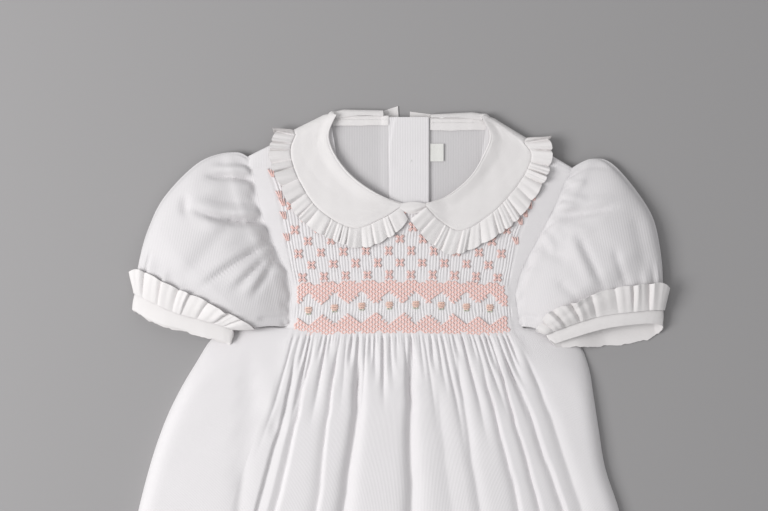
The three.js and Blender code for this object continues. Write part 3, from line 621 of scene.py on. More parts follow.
def ribbed_cotton(name, colour, painted_neck_shade=False):
    """Fine corded cotton, with painted shade in the grooves between its cords. Asked for, painted shade also
    darkens it inside the neck opening, under the collar.
    """
    finish = Finish(name, colour, 0.86, sheen_weight=0.25, sheen_roughness=0.5)
    place, across, along = finish.cloth_place()
    pitch = bpy.context.scene.romper_cloth.rib_pitch / MM
    rib = (across * (2 * math.pi / pitch)).sine()
    rib = (rib * 0.5 + 0.5).power(0.6)
    weft = (along * (2 * math.pi / 0.55)).sine() * 0.12
    grain = finish.noise(place, 0.9) * 0.5
    finish.bump(rib + weft + grain, 0.00015, 0.7)
    patches = finish.noise(place, 0.027)
    # Painted shade in the grooves between the cords, mixed with patches of tone that differ at random.
    tone_and_painted_shade = (rib * 0.45 + patches * 0.55) * 0.3 + 0.7
    if painted_neck_shade:
        # Painted shade inside the neck opening, under the collar: darker above y = 90 mm and near the
        # middle.
        above = ((along - 90.0) / 12.0).math("MINIMUM", 1.0).math("MAXIMUM", 0.0)
        beside = ((across.math("ABSOLUTE") - 60.0) / 9.0).math("MINIMUM", 1.0).math("MAXIMUM", 0.0)
        tone_and_painted_shade = tone_and_painted_shade - above * (1 - beside) * 0.66
    finish.blend(tone_and_painted_shade, shade(colour, 0.70), colour)
    return finish.material


def plain_cotton(name, colour):
    """Smooth plain-woven cotton."""
    finish = Finish(name, colour, 0.82, sheen_weight=0.2, sheen_roughness=0.45)
    place, across, along = finish.cloth_place()
    warp = (across * (2 * math.pi / 0.42)).sine()
    weft = (along * (2 * math.pi / 0.42)).sine()
    grain = finish.noise(place, 1.6) * 1.2
    finish.bump(warp * weft + grain, 0.00005, 0.7)
    finish.blend(finish.noise(place, 0.05), shade(colour, 0.95), colour)
    return finish.material


def thread(name, colour):
    """Twisted embroidery thread."""
    finish = Finish(name, colour, 0.55, sheen_weight=0.4, sheen_roughness=0.3)
    place, across, along = finish.object_place()
    finish.bump(((across + along) * (2 * math.pi / 0.0005)).sine(), 0.00008, 0.6)
    finish.blend(finish.noise(place, 300.0), shade(colour, 0.86), shade(colour, 1.04))
    return finish.material


def resin(name, colour):
    """Clouded resin, as of shirt buttons."""
    finish = Finish(name, colour, 0.28, coat_weight=0.4)
    cloud = finish.noise(finish.object_place()[0], 260.0)
    finish.blend(cloud, shade(colour, 0.9), colour)
    finish.bump(cloud, 0.0001, 0.2)
    return finish.material


def floor_finish(name, colour):
    """Plain matt paper."""
    finish = Finish(name, colour, 0.9)
    place = finish.object_place()[0]
    finish.bump(finish.noise(place, 900.0), 0.0001, 0.25)
    finish.blend(finish.noise(place, 2.0), shade(colour, 0.985), colour)
    return finish.material


MATERIALS = {}


def material(look):
    """One of the romper's finishes, made when first asked for."""
    if look not in MATERIALS:
        cloth = bpy.context.scene.romper_cloth
        white, plain, pink = map(tuple, (cloth.ribbed_colour, cloth.plain_colour, cloth.thread_colour))
        maker, *values = {
            "ribbed": (ribbed_cotton, "ribbed_cotton", white),
            "ribbed_back_neck_shaded": (ribbed_cotton, "ribbed_cotton_back", white, True),
            # Painted shade: the sleeves take a darker copy of the body's cloth.
            "ribbed_sleeve_shaded": (ribbed_cotton, "ribbed_cotton_sleeve", shade(white, SLEEVE_PAINTED_SHADE)),
            "plain": (plain_cotton, "plain_cotton", plain),
            "pink": (thread, "smocking_thread", pink),
            "rose": (thread, "rose_thread", ROSE),
            "green": (thread, "leaf_thread", LEAF_GREEN),
            "white_thread": (thread, "sewing_thread", SEWING_WHITE),
            "tab": (plain_cotton, "woven_tape", TAPE_WHITE),
            "resin": (resin, "button_resin", BUTTON_WHITE),
        }[look]
        MATERIALS[look] = maker(*values)
    return MATERIALS[look]


# ---------------------------------------------------------------- the front


def stitch_cells():
    """Where the crosses lie: the share across the smocking and y of each."""
    cells = []
    for row in range(10):
        start = -16.4 if row % 2 == 0 else -7.0
        for k in range(-5, 6):
            x = start + k * CROSS_SPACING
            share = float(gather_place(x, 57.0))
            if 0.0 < share < 1.0:
                cells.append((share, 47.2 + row * 10.1 + band_curve(x)))
    return cells


def pulled_together(p, y):
    """How far the stitches draw the pleats sideways, in shares of the smocking's width, and how
    much they press the pleats between them open."""
    shift, opened = np.zeros_like(p), np.zeros_like(p)
    for share, level in stitch_cells():
        dx, dy = (p - share) * SMOCKING_WIDTH, y - level
        shift -= 0.20 * dx * bell(dx, 0, 5.5) * bell(dy, 0, 3.6)
        opened = np.maximum(opened, bell(np.abs(dx), CROSS_SPACING / 2, 2.6) * bell(dy, 0, 3.4))
    for x, level in FLOWERETS:
        dx, dy = (p - gather_place(x, 20.0)) * SMOCKING_WIDTH, y - level
        shift -= 0.34 * dx * bell(dx, 0, 7.5) * bell(dy, 0, 4.6)
    return shift / SMOCKING_WIDTH, opened


def band_curve(x):
    """How far the bands' straight edges bow down towards the sides."""
    return -3.2 * ((x + 7) / 93) ** 2


def flower_offset(x):
    """Distance to the nearest floweret's middle, as a share of the way to the next gap."""
    centres = np.array([c[0] for c in FLOWERETS])
    return np.minimum(1, np.abs(np.asarray(x)[..., None] - centres).min(-1) / FLOWERET_REACH)


def in_bands(x, y):
    """1 where the two bands of trellis lie."""
    offset, level = flower_offset(x), y - band_curve(x)
    upper = (level > lerp(*UPPER_BAND_FOOT, offset)) & (level < 42.5)
    lower = (level > -4.0) & (level < lerp(*LOWER_BAND_TOP, offset))
    return (upper | lower) * 1.0


def pleat_relief(x, y):
    """Height of the pleats of the smocking below their crests."""
    p = gather_place(x, y)
    shift, opened = pulled_together(p, y)
    p = p - shift
    inside = ease(p, -0.012, 0.004) * (1 - ease(p, 0.996, 1.012))
    shown = 1 - ease(-y, -1, 16)
    wave = p * PLEATS + 0.16 * wander(p * PLEATS, 9, 1.3)
    valley = 1 - np.abs(np.sin(np.pi * wave)) ** 0.65
    depth = (1.0 + 0.3 * wander(p * PLEATS, 3, 2.0)) * (1 - 0.62 * opened * (y > 44))
    depth = depth * (1 - 0.9 * in_bands(x, y))
    return (0.45 * in_bands(x, y) - depth * valley) * inside * shown


def gathers(x, y):
    """Narrow creases that spring from the smocking's lower edge and die away in the skirt."""
    p = gather_place(x, y)
    rng = np.random.default_rng(11)
    lost = np.zeros_like(x)
    bounds = np.cumsum(rng.uniform(0.55, 1.45, 37))
    bounds = bounds / bounds[-1]
    for i, share in enumerate(bounds[:-1]):
        depth = rng.uniform(0.9, 3.3)
        reach = rng.uniform(26, 62) if i % 3 else rng.uniform(60, 120)
        lean = rng.uniform(-0.006, 0.006) + 0.004 * wander(y, 50 + i, 22)
        centre = share + lean * ease(-y, 0, reach)
        width = lerp(0.0050, rng.uniform(0.011, 0.020), ease(-y, 2, reach))
        shape = np.exp(-(np.abs(p - centre) / width) ** 1.4)
        grown = ease(-y, 0.5, 9) * (1 - ease(-y, reach * 0.45, reach))
        lost = np.maximum(lost, depth * shape * grown)
    crown = 1.4 * ease(-y, 0, 10) * (1 - ease(-y, 20, 90))
    return (crown - lost) * ease(p, -0.04, 0.01) * (1 - ease(p, 0.99, 1.04))


def front_columns(v):
    """Shares across the front at each row, with even columns over the pleats."""
    plan_left = catmull(BODY_ROWS["left_x"], v)
    plan_right = catmull(BODY_ROWS["right_x"], v)
    middle = catmull(BODY_ROWS["middle_y"], v)
    start, end = gather_edges(middle)
    start = (start - plan_left) / (plan_right - plan_left)
    end = (end - plan_left) / (plan_right - plan_left)
    side = np.linspace(0, 1, 15)[:-1] ** 1.5
    centre = np.linspace(0, 1, PLEATS * 5 + 1)
    return np.concatenate([
        start[:, None] * side[None], start[:, None] + (end - start)[:, None] * centre[None],
        1 - (1 - end)[:, None] * side[None, ::-1],
    ], 1)


def make_front():
    """The front, with its pleats and gathers, cut away at the neck and above the shoulder seams."""
    v = np.concatenate([np.linspace(2, 11, 44)[:-1], np.linspace(11, LAST_ROW, 70)])
    u = front_columns(v)
    rows = np.repeat(v[:, None], u.shape[1], 1)
    plan = body_plan(u, rows, SEAM / 2)
    x, y = plan[..., 0], plan[..., 1]
    z = front_height(u, rows, x, y)
    roll = ease(np.minimum(u, 1 - u), 0.0, 0.05)
    z = z + (pleat_relief(x, y) + gathers(x, y)) * roll
    points = np.stack([x, y, z], -1)
    flat = np.stack([gather_place(x, y) * 330, -y], -1)
    middle = (points[:-1, :-1] + points[1:, 1:]) / 2
    neck = inside_neck(middle[..., 0], middle[..., 1])
    seam_y = shoulder_seam_y(middle[..., 0])
    keep = ~neck & (middle[..., 1] < seam_y)
    return sewn("front", "ribbed", points, flat, keep=keep)


def shoulder_seam_y(x):
    """Y of the seams where the back's shoulders meet the front."""
    left, right = np.interp(x, [-142, -56], [137.1, 142.8]), np.interp(x, [56, 146], [140.8, 134.0])
    return np.where(x < 0, left, right)


def inside_neck(x, y):
    """Whether a place in plan lies inside the neck opening."""
    left = curve(SIDES["left"]["neck"], np.linspace(0, 1, 30))
    right = curve(SIDES["right"]["neck"], np.linspace(0, 1, 30))
    outline = np.concatenate([left[::-1], right])
    low = np.interp(x, outline[:, 0], outline[:, 1], left=1e3, right=1e3) - 1.5
    xs = np.clip(x, outline[:, 0].min(), outline[:, 0].max())
    return (y > low) & (np.abs(x - 2) < 68) & (xs == x)


# ---------------------------------------------------------------- collar and frills


def out_of_fold(side):
    """The direction in plan that points out of the shoulder's fold."""
    outer, neck = (np.array(p, float) for p in SIDES[side]["fold"])
    along = (neck - outer) / np.linalg.norm(neck - outer)
    return np.array([-along[1], along[0]]) * -SIDES[side]["sign"]


def collar_place(side, s, w, extra):
    """Places on a collar half. s runs 0 to 1 on the front, to 2 over the fold and to 3 on the back;
    w runs 0 to 1 from the neck to the collar's edge, and on to 2 across its frill."""
    lines = SIDES[side]
    front, back, turn = np.clip(s, 0, 1), np.clip(s - 2, 0, 1), np.clip(s - 1, 0, 1)

    def spread(names, share):
        neck, edge, frill = (curve(lines[n], share)[:, None, :] for n in names)
        t = w[None, :, None]
        return np.where(t <= 1, neck + (edge - neck) * t, edge + (frill - edge) * (t - 1))

    in_front = spread(("neck", "collar_edge", "frill_edge"), front)
    behind = spread(("back_neck", "back_collar_edge", "back_frill_edge"), back)
    s_, w_, turn_ = s[:, None], w[None, :], turn[:, None]
    bottom = np.full(in_front.shape[:2], 0.05)
    # The back of the collar rolls over the neck's edge, from the binding to behind the back.
    rolled = np.clip(w_ / ROLL_SHARE, 0, 1)
    angle = np.pi * rolled
    over = (1 - ease(rolled, 0.9, 1.0)) * np.ones_like(s_)
    crest = lerp(*ROLL_TOP[side], back[:, None]) - behind[..., 1]
    crest = crest * lerp(0.74, 1, ease(back[:, None], 0, 0.25))
    behind[..., 1] += np.where(w_ < ROLL_SHARE, crest * np.sin(angle) - 2.6 * (1 - ease(rolled, 0, 0.3)), 0)
    bottom += over * (3.7 + 3.7 * np.cos(angle)) * (w_ < ROLL_SHARE)
    mix = np.where(s <= 1, 0, np.where(s >= 2, 1, turn))[:, None, None]
    plan = in_front + (behind - in_front) * mix
    roll = 2.4 * (1 - ease(w_, 0, 0.35)) * np.where(s_ < 1, ease(front[:, None], 0, 0.25), 1)
    overlap = 2.6 * (1 - ease(s_, 0.02, 0.2)) if side == "right" else 0
    top = chest_level(in_front[..., 0], in_front[..., 1]) + REST + CAD_CLOTH + roll + overlap + extra
    radius = (top - bottom) / 2
    spring = np.where(w_ > 1, -1.6 * (w_ - 1) ** 2, 0)
    slim = 0.35 + 0.65 * ease(w_, 0, 0.3)
    bulge = (radius + spring) * np.sin(np.pi * turn_) * ((s_ > 1) & (s_ < 2)) * slim
    plan = plan + bulge[..., None] * out_of_fold(side)
    turned = bottom + radius + radius * np.cos(np.pi * turn_)
    z = np.where(s_ <= 1, top, np.where(s_ >= 2, bottom, turned))
    return np.concatenate([plan, z[..., None]], -1)


def collar_rows(front, turn, back):
    """Places along a collar half, with the given numbers on the front, round the fold and on the back."""
    return np.concatenate([np.linspace(0, 1, front)[:-1], np.linspace(1, 2, turn)[:-1],
                           np.linspace(2, 3, back)])


def make_collar(side):
    s = collar_rows(80, 30, 44)
    w = np.concatenate([[0, 0.006, 0.014, 0.024, 0.036, 0.048, 0.062, 0.08, 0.1, 0.12, 0.14, ROLL_SHARE],
                        np.linspace(0.19, 0.96, 22), [0.98, 0.992, 1.0]])
    S, W = grid(s, w)
    swell = 0.35 * wander(S * 9 + W * 2, 21 if side == "left" else 22) + 0.3 * wander(W * 6 - S * 4, 23)
    edge_dip = -0.4 * ease(W, 0.96, 1.0) ** 2 + 0.1 * bell(W, 0.94, 0.03)
    rim = -0.9 * (1 - ease(W, 0.0, 0.02)) - 0.45 * bell(W, 0.045, 0.012)
    rim = rim * (1 - ease(S, 0.7, 0.95))
    points = collar_place(side, s, w, np.where(S < 1.4, swell * 0.8 + edge_dip + rim, 0))
    flat = np.stack([W * 52, S * 110], -1)
    return sewn("collar_" + side, "plain", points, flat, thickness=COLLAR_CLOTH)


def pleat_bounds(length, count, seed):
    """Uneven places of the folds along a frill."""
    widths = np.random.default_rng(seed).uniform(0.5, 1.5, count)
    return np.concatenate([[0], np.cumsum(widths)]) / widths.sum() * length


def frill_pleats(s, bounds, seed, groove=0.2):
    """Height of each pleat, from 0 in the fold beside it to about 1 on its flat top, and how far its
    outer edge stands out."""
    pleat = np.clip(np.searchsorted(bounds, s, side="right") - 1, 0, len(bounds) - 2)
    q = (s - bounds[pleat]) / (bounds[pleat + 1] - bounds[pleat])
    rng = np.random.default_rng(seed)
    tall = rng.uniform(0.55, 1.35, len(bounds))[pleat]
    lean = rng.uniform(-0.45, 0.45, len(bounds))[pleat]
    first = groove * (1 + 1.2 * (lean > 0))
    last = groove * (1 + 1.2 * (lean <= 0))
    height = np.sin(np.pi / 2 * np.clip(q / first, 0, 1)) ** 0.8
    height *= np.sin(np.pi / 2 * np.clip((1 - q) / last, 0, 1)) ** 0.8
    height *= tall * (1 + lean * (q - 0.5)) * (1 - 0.22 * bell(q, 0.5, 0.16))
    reach = np.sin(np.pi * np.clip(q, 0, 1)) ** 0.5 - 0.6 + 0.8 * lean * (q - 0.5)
    return height, reach


def make_collar_frill(side):
    s = collar_rows(420, 60, 120)
    w = np.concatenate([[0.955, 0.975, 0.99, 1.005, 1.03], np.linspace(1.07, 2, 11)])
    S, W = grid(s, w)
    seed = 31 if side == "left" else 37
    share = np.clip(W - 1, 0, 1)
    skew = 0.010 * wander(S * 30, seed + 5) * share
    height, reach = frill_pleats(S + skew, pleat_bounds(3.0, 48, seed), seed + 1)
    pressed = 1 - 0.85 * ease(S, 1.35, 1.9)
    wave = (0.5 + 2.1 * share ** 0.8) * height * pressed * ease(W, 0.985, 1.03)
    wave = wave * (1 + 0.9 * ease(S, 0.45, 0.75))
    under_collar = -1.05 * (1 - ease(W, 0.99, 1.06))
    extra = under_collar + wave - 0.5 * ease(W, 1.0, 1.06)
    points = collar_place(side, s, w, np.where(S < 2, extra, 0))
    scallop = 1.7 * share ** 1.5 * reach * pressed
    edge = curve(SIDES[side]["frill_edge"], s) - curve(SIDES[side]["collar_edge"], s)
    edge = edge / np.linalg.norm(edge, axis=1, keepdims=True)
    points[..., :2] += edge[:, None, :] * np.where(S < 1.3, scallop, 0)[..., None]
    flat = np.stack([S * 190, W * 19], -1)
    return sewn("collar_frill_" + side, "plain", points, flat, thickness=FRILL_CLOTH)


def make_neck_fold():
    """The neck edge's plain cloth, which shows folded between the collar's tips."""
    V, U = grid(np.linspace(0, 1, 14), np.linspace(0, 1, 28))
    x = lerp(-7.5, 18.5, U)
    arch = np.sin(np.pi * U)
    y_top = lerp(107.0, 106.2, U) + 1.9 * arch
    y_low = lerp(103.0, 103.4, U) - 4.8 * np.sin(np.pi * np.clip(U * 1.15, 0, 1))
    y = lerp(y_top, y_low, V)
    z = chest_level(x, y) + 1.2 + 1.7 * np.sin(np.pi * np.clip(V, 0.02, 0.9)) * (0.5 + 0.5 * arch)
    z += 0.4 * np.sin(V * 9 + U * 5) * arch
    flat = np.stack([U * 26, V * 11], -1)
    return sewn("neck_fold", "plain", np.stack([x, y, z], -1), flat, thickness=FRILL_CLOTH)


# ---------------------------------------------------------------- sleeves and cuffs


def sleeve_plan(side, share, t):
    """Places on a sleeve in plan: share runs from its cap to its underarm, and t from armhole to cuff."""
    lines = SIDES[side]
    cap, underarm = curve(lines["cap"], t), curve(lines["underarm"], t)
    cuff = curve(lines["cuff_seam"], share)
    start, end = lines["cap"][0], lines["underarm"][0]

    def armhole(s):
        y = lerp(start[1], end[1], s)
        x = catmull(BODY_ROWS[side + "_x"], chest_row(y)) + lines["sign"] * -ARMHOLE_TUCK
        return np.stack([np.where(s <= 0, start[0], x), y], -1)

    s, q = share[..., None], t[..., None]
    ruled = cap * (1 - s) + underarm * s
    across = armhole(share) * (1 - q) + cuff * q
    one = np.ones_like(share)
    top, low = armhole(0 * one), armhole(one)
    ruled = ruled + ((top - start) * (1 - s) + (low - end) * s) * np.maximum(1 - q, 0) ** 6
    first = armhole(0 * one) * (1 - q) + curve(lines["cuff_seam"], 0 * one) * q
    last = armhole(one) * (1 - q) + curve(lines["cuff_seam"], one) * q
    return ruled + across - first * (1 - s) - last * s


def sleeve_height(name, at):
    """A column of the sleeves' heights, read smoothly."""
    stops = np.array(SLEEVE_HEIGHTS["at"], float)
    row = np.clip(np.searchsorted(stops, at, side="right") - 1, 0, len(stops) - 2)
    share = ease((at - stops[row]) / (stops[row + 1] - stops[row]), 0, 1)
    values = np.array(SLEEVE_HEIGHTS[name], float)
    return lerp(values[row], values[row + 1], share)


def sleeve_point(side, angle, t):
    """Places on a sleeve before its creases, at an angle round it and at t from armhole to cuff."""
    share = ring_share(angle)
    plan = sleeve_plan(side, share, np.clip(t, 0, 1))
    seamed = 1 - ease(t, 0, 0.16)
    over_skirt = SKIRT_UNDER_SLEEVE * ease(share, 0.5, 0.8) * (1 - seamed)
    floor = lerp(sleeve_height("under", t), lift(plan[..., 1]), seamed) + over_skirt
    ceiling = sleeve_height("top", t) + lift(plan[..., 1]) * seamed
    near = 1 - ease(t, 0.0, 0.10)
    start = sleeve_plan(side, share, 0 * t)
    seam = chest_level(start[..., 0], start[..., 1]) + 0.15
    away = np.hypot(*np.moveaxis(sleeve_plan(side, share, 0 * t + 1) - start, -1, 0)) * np.clip(t, 0, 1)
    gentle = seam + 24 * (1 - np.exp(-away / 27))
    ceiling = lerp((ceiling ** -8.0 + gentle ** -8.0) ** (-1 / 8), seam, 1 - ease(t, 0.0, 0.02))
    middle = floor + np.minimum(6, (ceiling - floor) * 0.45)
    sine = np.sin(angle)
    z = np.where(sine >= 0, middle + (ceiling - middle) * np.abs(sine) ** lerp(0.8, 0.06, near),
                 middle - (middle - floor) * np.minimum(1, -sine * 1.7))
    return np.concatenate([plan, z[..., None]], -1)


def crease_height(x, y, creases):
    """Height that the creases add, each along its bent line."""
    height = np.zeros_like(x)
    s = np.linspace(0, 1, 24)[:, None]
    for start, middle, end, width, tall in creases:
        path = (1 - s) ** 2 * np.array(start) + 2 * s * (1 - s) * np.array(middle) + s**2 * np.array(end)
        gap = np.hypot(x[..., None] - path[:, 0], y[..., None] - path[:, 1])
        nearest = gap.argmin(-1)
        along = nearest / 23
        fade = ease(along, -0.15, 0.2) * (1 - ease(along, 0.6, 1.02))
        height += tall * bell(gap.min(-1), 0, width) * fade
    return height


def puckers(angle, t, seed):
    """Small gathers that spring from the armhole and from the cuff."""
    phase = angle * 23 + 1.8 * wander(angle * 3, seed)
    other = angle * 19 + 1.6 * wander(angle * 4, seed + 1)
    uneven = np.clip(0.65 + 0.8 * wander(angle * 8, seed + 2), 0, 2)
    reach = 0.13 + 0.10 * np.clip(wander(angle * 11, seed + 3), -0.6, 1)
    armhole = np.sin(phase) * 1.1 * (1 - ease(t, reach * 0.3, reach)) * ease(t, 0.0, 0.03)
    cuff = np.sin(other) * 0.9 * ease(t, 0.72, 0.84)
    return (armhole + cuff) * uneven


def ring_normals(points):
    """Directions out of a tube whose rings are the rows of a grid."""
    across = np.roll(points, -1, 1) - np.roll(points, 1, 1)
    normal = np.cross(across, np.gradient(points, axis=0))
    normal /= np.linalg.norm(normal, axis=-1, keepdims=True) + 1e-9
    top = normal[len(normal) // 2, normal.shape[1] // 4]
    return normal * (1 if top[2] > 0 else -1)


def make_sleeve(side):
    T, A = grid(np.linspace(0, 1, 100), around(180))
    points = sleeve_point(side, A, T)
    on_top = ease(np.sin(A), 0.0, 0.5)
    seed = 61 if side == "left" else 71
    relief = puckers(A, T, seed) * (0.35 + 0.65 * on_top)
    relief += crease_height(points[..., 0], points[..., 1], SLEEVE_CREASES[side]) * on_top
    relief = np.where(np.sin(A) < 0, np.maximum(relief, 0) * ease(T, 0, 0.1), relief) * ease(T, 0.0, 0.05)
    relief = np.where(np.sin(A) < -0.05, 0, relief)
    points = points + ring_normals(points) * relief[..., None]
    lean = SIDES[side]["sign"] * 0.14
    flat = np.stack([points[..., 0] - lean * points[..., 1], points[..., 1]], -1)
    return sewn("sleeve_" + side, "ribbed_sleeve_shaded", points, flat, ring=True)


def make_cuff_band(side):
    """A cuff's band, held open: its edge stands up in front and lies on the surface behind."""
    lines = SIDES[side]
    angle = around(180)
    T, A = grid(np.concatenate([[0.02], np.linspace(0.08, 0.92, 8), [0.97, 1.0]]), angle)
    share = ring_share(angle)
    start = sleeve_point(side, angle, np.ones_like(angle))
    low = ease((1 - np.sin(angle)) / 2, 0.25, 0.75)[:, None]
    edge = curve(lines["band_front"], share) * (1 - low) + curve(lines["band_back"], share) * low
    edge[:, 1] += low[:, 0] * 1.1 * wander(angle * 12, 83)
    level = 0.2 + (CUFF_OPENING - 0.2) * ((start[:, 2] - 2.2) / 13.3)
    end = np.concatenate([edge, level[:, None]], 1)
    taper = 1 - 0.5 * ease(share, 0.955, 1.0)
    points = start[None] + (end - start)[None] * (T * taper)[..., None]
    swell = np.sin(np.pi * T) * 0.5 + 0.25 * wander(A * 9, 81) * T
    points = points + ring_normals(points) * np.where(np.sin(A) > 0, swell, 0)[..., None]
    flat = np.stack([A / (2 * np.pi) * 180, T * 13], -1)
    return sewn("cuff_band_" + side, "plain", points, flat, ring=True, thickness=BAND_CLOTH)


def make_cuff_frill(side):
    """A cuff's pleated frill, which is turned up over the sleeve."""
    angle = around(600)
    Q, A = grid(np.concatenate([[0.0, 0.03], np.linspace(0.08, 1, 13)]), angle)
    share = ring_share(angle)
    span = sleeve_plan(side, share, 0 * share + 1) - sleeve_plan(side, share, 0 * share)
    cover = np.clip(CUFF_FRILL / np.hypot(span[:, 0], span[:, 1]), 0.1, 0.42)
    cover = cover * (1 - 0.22 * bell(share, 0, 0.03))
    base = sleeve_point(side, A, 1 - Q * cover)
    lifted = ease(np.sin(A), -0.1, 0.5)
    seed = 91 if side == "left" else 99
    along_ring = np.where(A < np.pi, share, 2 - share)
    skew = 0.012 * wander(A * 9, seed + 5) * Q
    height, reach = frill_pleats(along_ring + skew, pleat_bounds(2.0, 16, seed), seed + 1, 0.24)
    wave = (0.8 + 3.7 * Q ** 0.7) * height * (0.12 + 0.88 * lifted)
    out = CAD_CLOTH * 0.9 + 0.4 + Q * 0.4 * lifted + wave
    points = base + ring_normals(base) * out[..., None]
    along = np.gradient(base, axis=0)
    along /= np.linalg.norm(along, axis=-1, keepdims=True)
    points += along * (1.6 * Q ** 2 * reach * lifted)[..., None]
    points[..., 0] += SIDES[side]["sign"] * 4.5 * Q * bell(share, 0, 0.05)
    points[..., 2] = np.maximum(points[..., 2], 0.62)
    flat = np.stack([along_ring * 165, Q * 20], -1)
    return sewn("cuff_frill_" + side, "plain", points, flat, ring=True, thickness=FRILL_CLOTH)


def make_leg_band(side):
    T, A = grid(np.linspace(0, 1, 8), around(160))
    across = lerp(*LEGS[side], ring_share(A))
    row = np.full_like(across, LAST_ROW)
    plan = body_plan(across, row, SEAM / 2)
    top = front_height(across, row, plan[..., 0], plan[..., 1]) + 0.3
    middle, sine = 1.6, np.sin(A)
    z = np.where(sine >= 0, np.maximum(middle, lerp(middle, top, np.minimum(1, sine * 3))),
                 middle * (1 - np.minimum(1, -sine * 2)))
    z = z + np.where(sine > 0, np.sin(np.pi * T) * 0.4, 0)
    points = np.stack([plan[..., 0], plan[..., 1] - 0.5 - T * (LEG_BAND + 0.4), z], -1)
    flat = np.stack([A / (2 * np.pi) * 320, T * 13], -1)
    return sewn("leg_band_" + side, "plain", points, flat, ring=True, thickness=BAND_CLOTH)


# ---------------------------------------------------------------- back neck


def climb(x):
    """How far the left half climbs onto the right half's edge."""
    return (CAD_CLOTH + SEAM) * ease(x, LAP_LEFT - LAP_RAMP, LAP_LEFT - 0.8)


def back_edge(side, y):
    """The outer edge of a back half at each y, in at the shoulder fold above the armhole."""
    falling = np.maximum.accumulate(-np.array(BODY_ROWS[side + "_y"], float))
    rows = np.interp(-y, falling, np.arange(LAST_ROW + 1))
    x = catmull(BODY_ROWS[side + "_x"], rows)
    (x0, y0), (x1, y1) = SIDES[side]["fold"]
    fold = x0 + (x1 - x0) * np.clip((y - y0) / (y1 - y0), 0, 1)
    sign = SIDES[side]["sign"]
    return sign * np.minimum(sign * x - 1.2, np.where(y > y0 - 4, sign * fold + 0.2, 1e3))


def make_back_half(side):
    """A back half: its flat part, and its shoulder, which turns over onto the front."""
    levels = np.concatenate([np.linspace(NECK_TOP, LAP_END + 0.3, 60), np.linspace(LAP_END - 0.3, -246, 70)])
    Y, U = grid(levels, np.linspace(0, 1, 70))
    lap = np.where(Y > LAP_END, LAP_RIGHT if side == "left" else LAP_LEFT, CENTRE_SEAM)
    X = lerp(back_edge(side, Y), lap + SIDES[side]["sign"] * SEAM / 2, U)
    over = climb(X) * ease(Y, LAP_END - 2, LAP_END + 6) if side == "left" else 0
    Z = lift(Y) + CAD_CLOTH + over
    sag = 6 * ease(-Y, 232, 246) * (1 - np.abs(2 * (X - 2) / 380) ** 2)
    body = (np.stack([X, Y - sag, Z], -1), np.stack([X, Y], -1))
    return sewn(f"back_{side}_half", "ribbed_back_neck_shaded", body, shoulder_grid(side), thickness=BACK_CLOTH)


def shoulder_grid(side):
    """The back's shoulder, which turns over at the fold and comes down to the seam on the front."""
    outer, neck = (np.array(p, float) for p in SIDES[side]["fold"])
    up = out_of_fold(side)
    V, U = grid(np.concatenate([np.linspace(-1, 0, 12)[:-1], np.linspace(0, 1, 14), [1.5, 2]]),
                np.linspace(0, 1, 40))
    at = outer + (neck - outer) * lerp(0.015, 0.93, U)[..., None]
    top = chest_level(at[..., 0], at[..., 1])
    radius = (top - NECK_LIFT) / 2
    angle = np.pi * np.clip(V, 0, 1)
    plan = at + up * (radius * np.sin(angle))[..., None]
    x = lerp(outer[0] - SIDES[side]["sign"] * 1.2, neck[0] * 0.98, U)
    down = np.stack([x, shoulder_seam_y(x) - 1.6], -1)
    plan = np.where(V[..., None] < 0, plan + (down - plan) * -np.minimum(V, 0)[..., None], plan)
    plan = plan - up * (np.clip(V - 1, 0, 1) * 3)[..., None]
    z = NECK_LIFT + radius + radius * np.cos(angle)
    on_front = chest_level(plan[..., 0], plan[..., 1]) + 0.5
    z = np.where(V < 0, lerp(z, on_front, ease(-V, 0, 0.35)), z)
    z = z - 0.5 * ease(-V, 0.94, 1.0) - 0.8 * (1 - ease(U, 0, 0.06))
    return np.concatenate([plan, z[..., None]], -1), np.stack([plan[..., 0], V * 30], -1)


def make_lap_facing():
    """The ribbed strip down the centre back, whose right edge turns down."""
    u = np.concatenate([np.linspace(LAP_LEFT + 0.8, LAP_RIGHT - 1.2, 40), [17.2, 17.6, 17.9, LAP_RIGHT]])
    V, U = grid(np.linspace(NECK_TOP + 1.0, LAP_END + 4, 90), u)
    z = lift(V) + 3 * CAD_CLOTH + 2 * SEAM + 0.3 * wander(V * 0.08 + U * 0.03, 5) * ease(U, -16, -8)
    z -= 0.9 * ease(U, LAP_RIGHT - 1, LAP_RIGHT) ** 2
    # The cloth is folded over along a slanting line at the upper left.
    fold_x = np.interp(V, [34, 150, 160.7, 176.4, 181], [-15.8, -15.5, -14.5, -11.6, -9.5])
    left = np.minimum(U - fold_x, 0)
    z += 0.55 * ease(U - fold_x, -1.2, 0.3) - 0.35
    piece_x = U + 0.25 * left + 0.35 * wander(V, 6, 30) * ease(U, 8, -16)
    return sewn("lap_facing", "ribbed", np.stack([piece_x, V, z], -1), np.stack([U, V], -1))


def make_back_binding(side):
    """A binding of the back neck, with its line of stitching pressed in."""
    start, end = (-68.5, LAP_LEFT + 0.5) if side == "left" else (LAP_RIGHT + 0.7, 69)
    top, low = (181.6, 173.4) if side == "left" else (179.6, 169.4)
    V, U = grid(np.linspace(0, 1, 22), np.linspace(start, end, 60))
    base = NECK_LIFT + 2 * CAD_CLOTH + SEAM + (climb(U) if side == "left" else 0)
    stitched = -0.35 * bell(V, 0.36, 0.05)
    z = base + 0.45 * np.sin(np.pi * V) ** 0.5 + 0.12 * wander(U * 0.3, 7) + stitched
    y = lerp(top, low + 0.5 * wander(U * 0.08, 8), V)
    flat = np.stack([U, V * BINDING], -1)
    return sewn("neck_binding_" + side, "plain", np.stack([U, y, z], -1), flat)


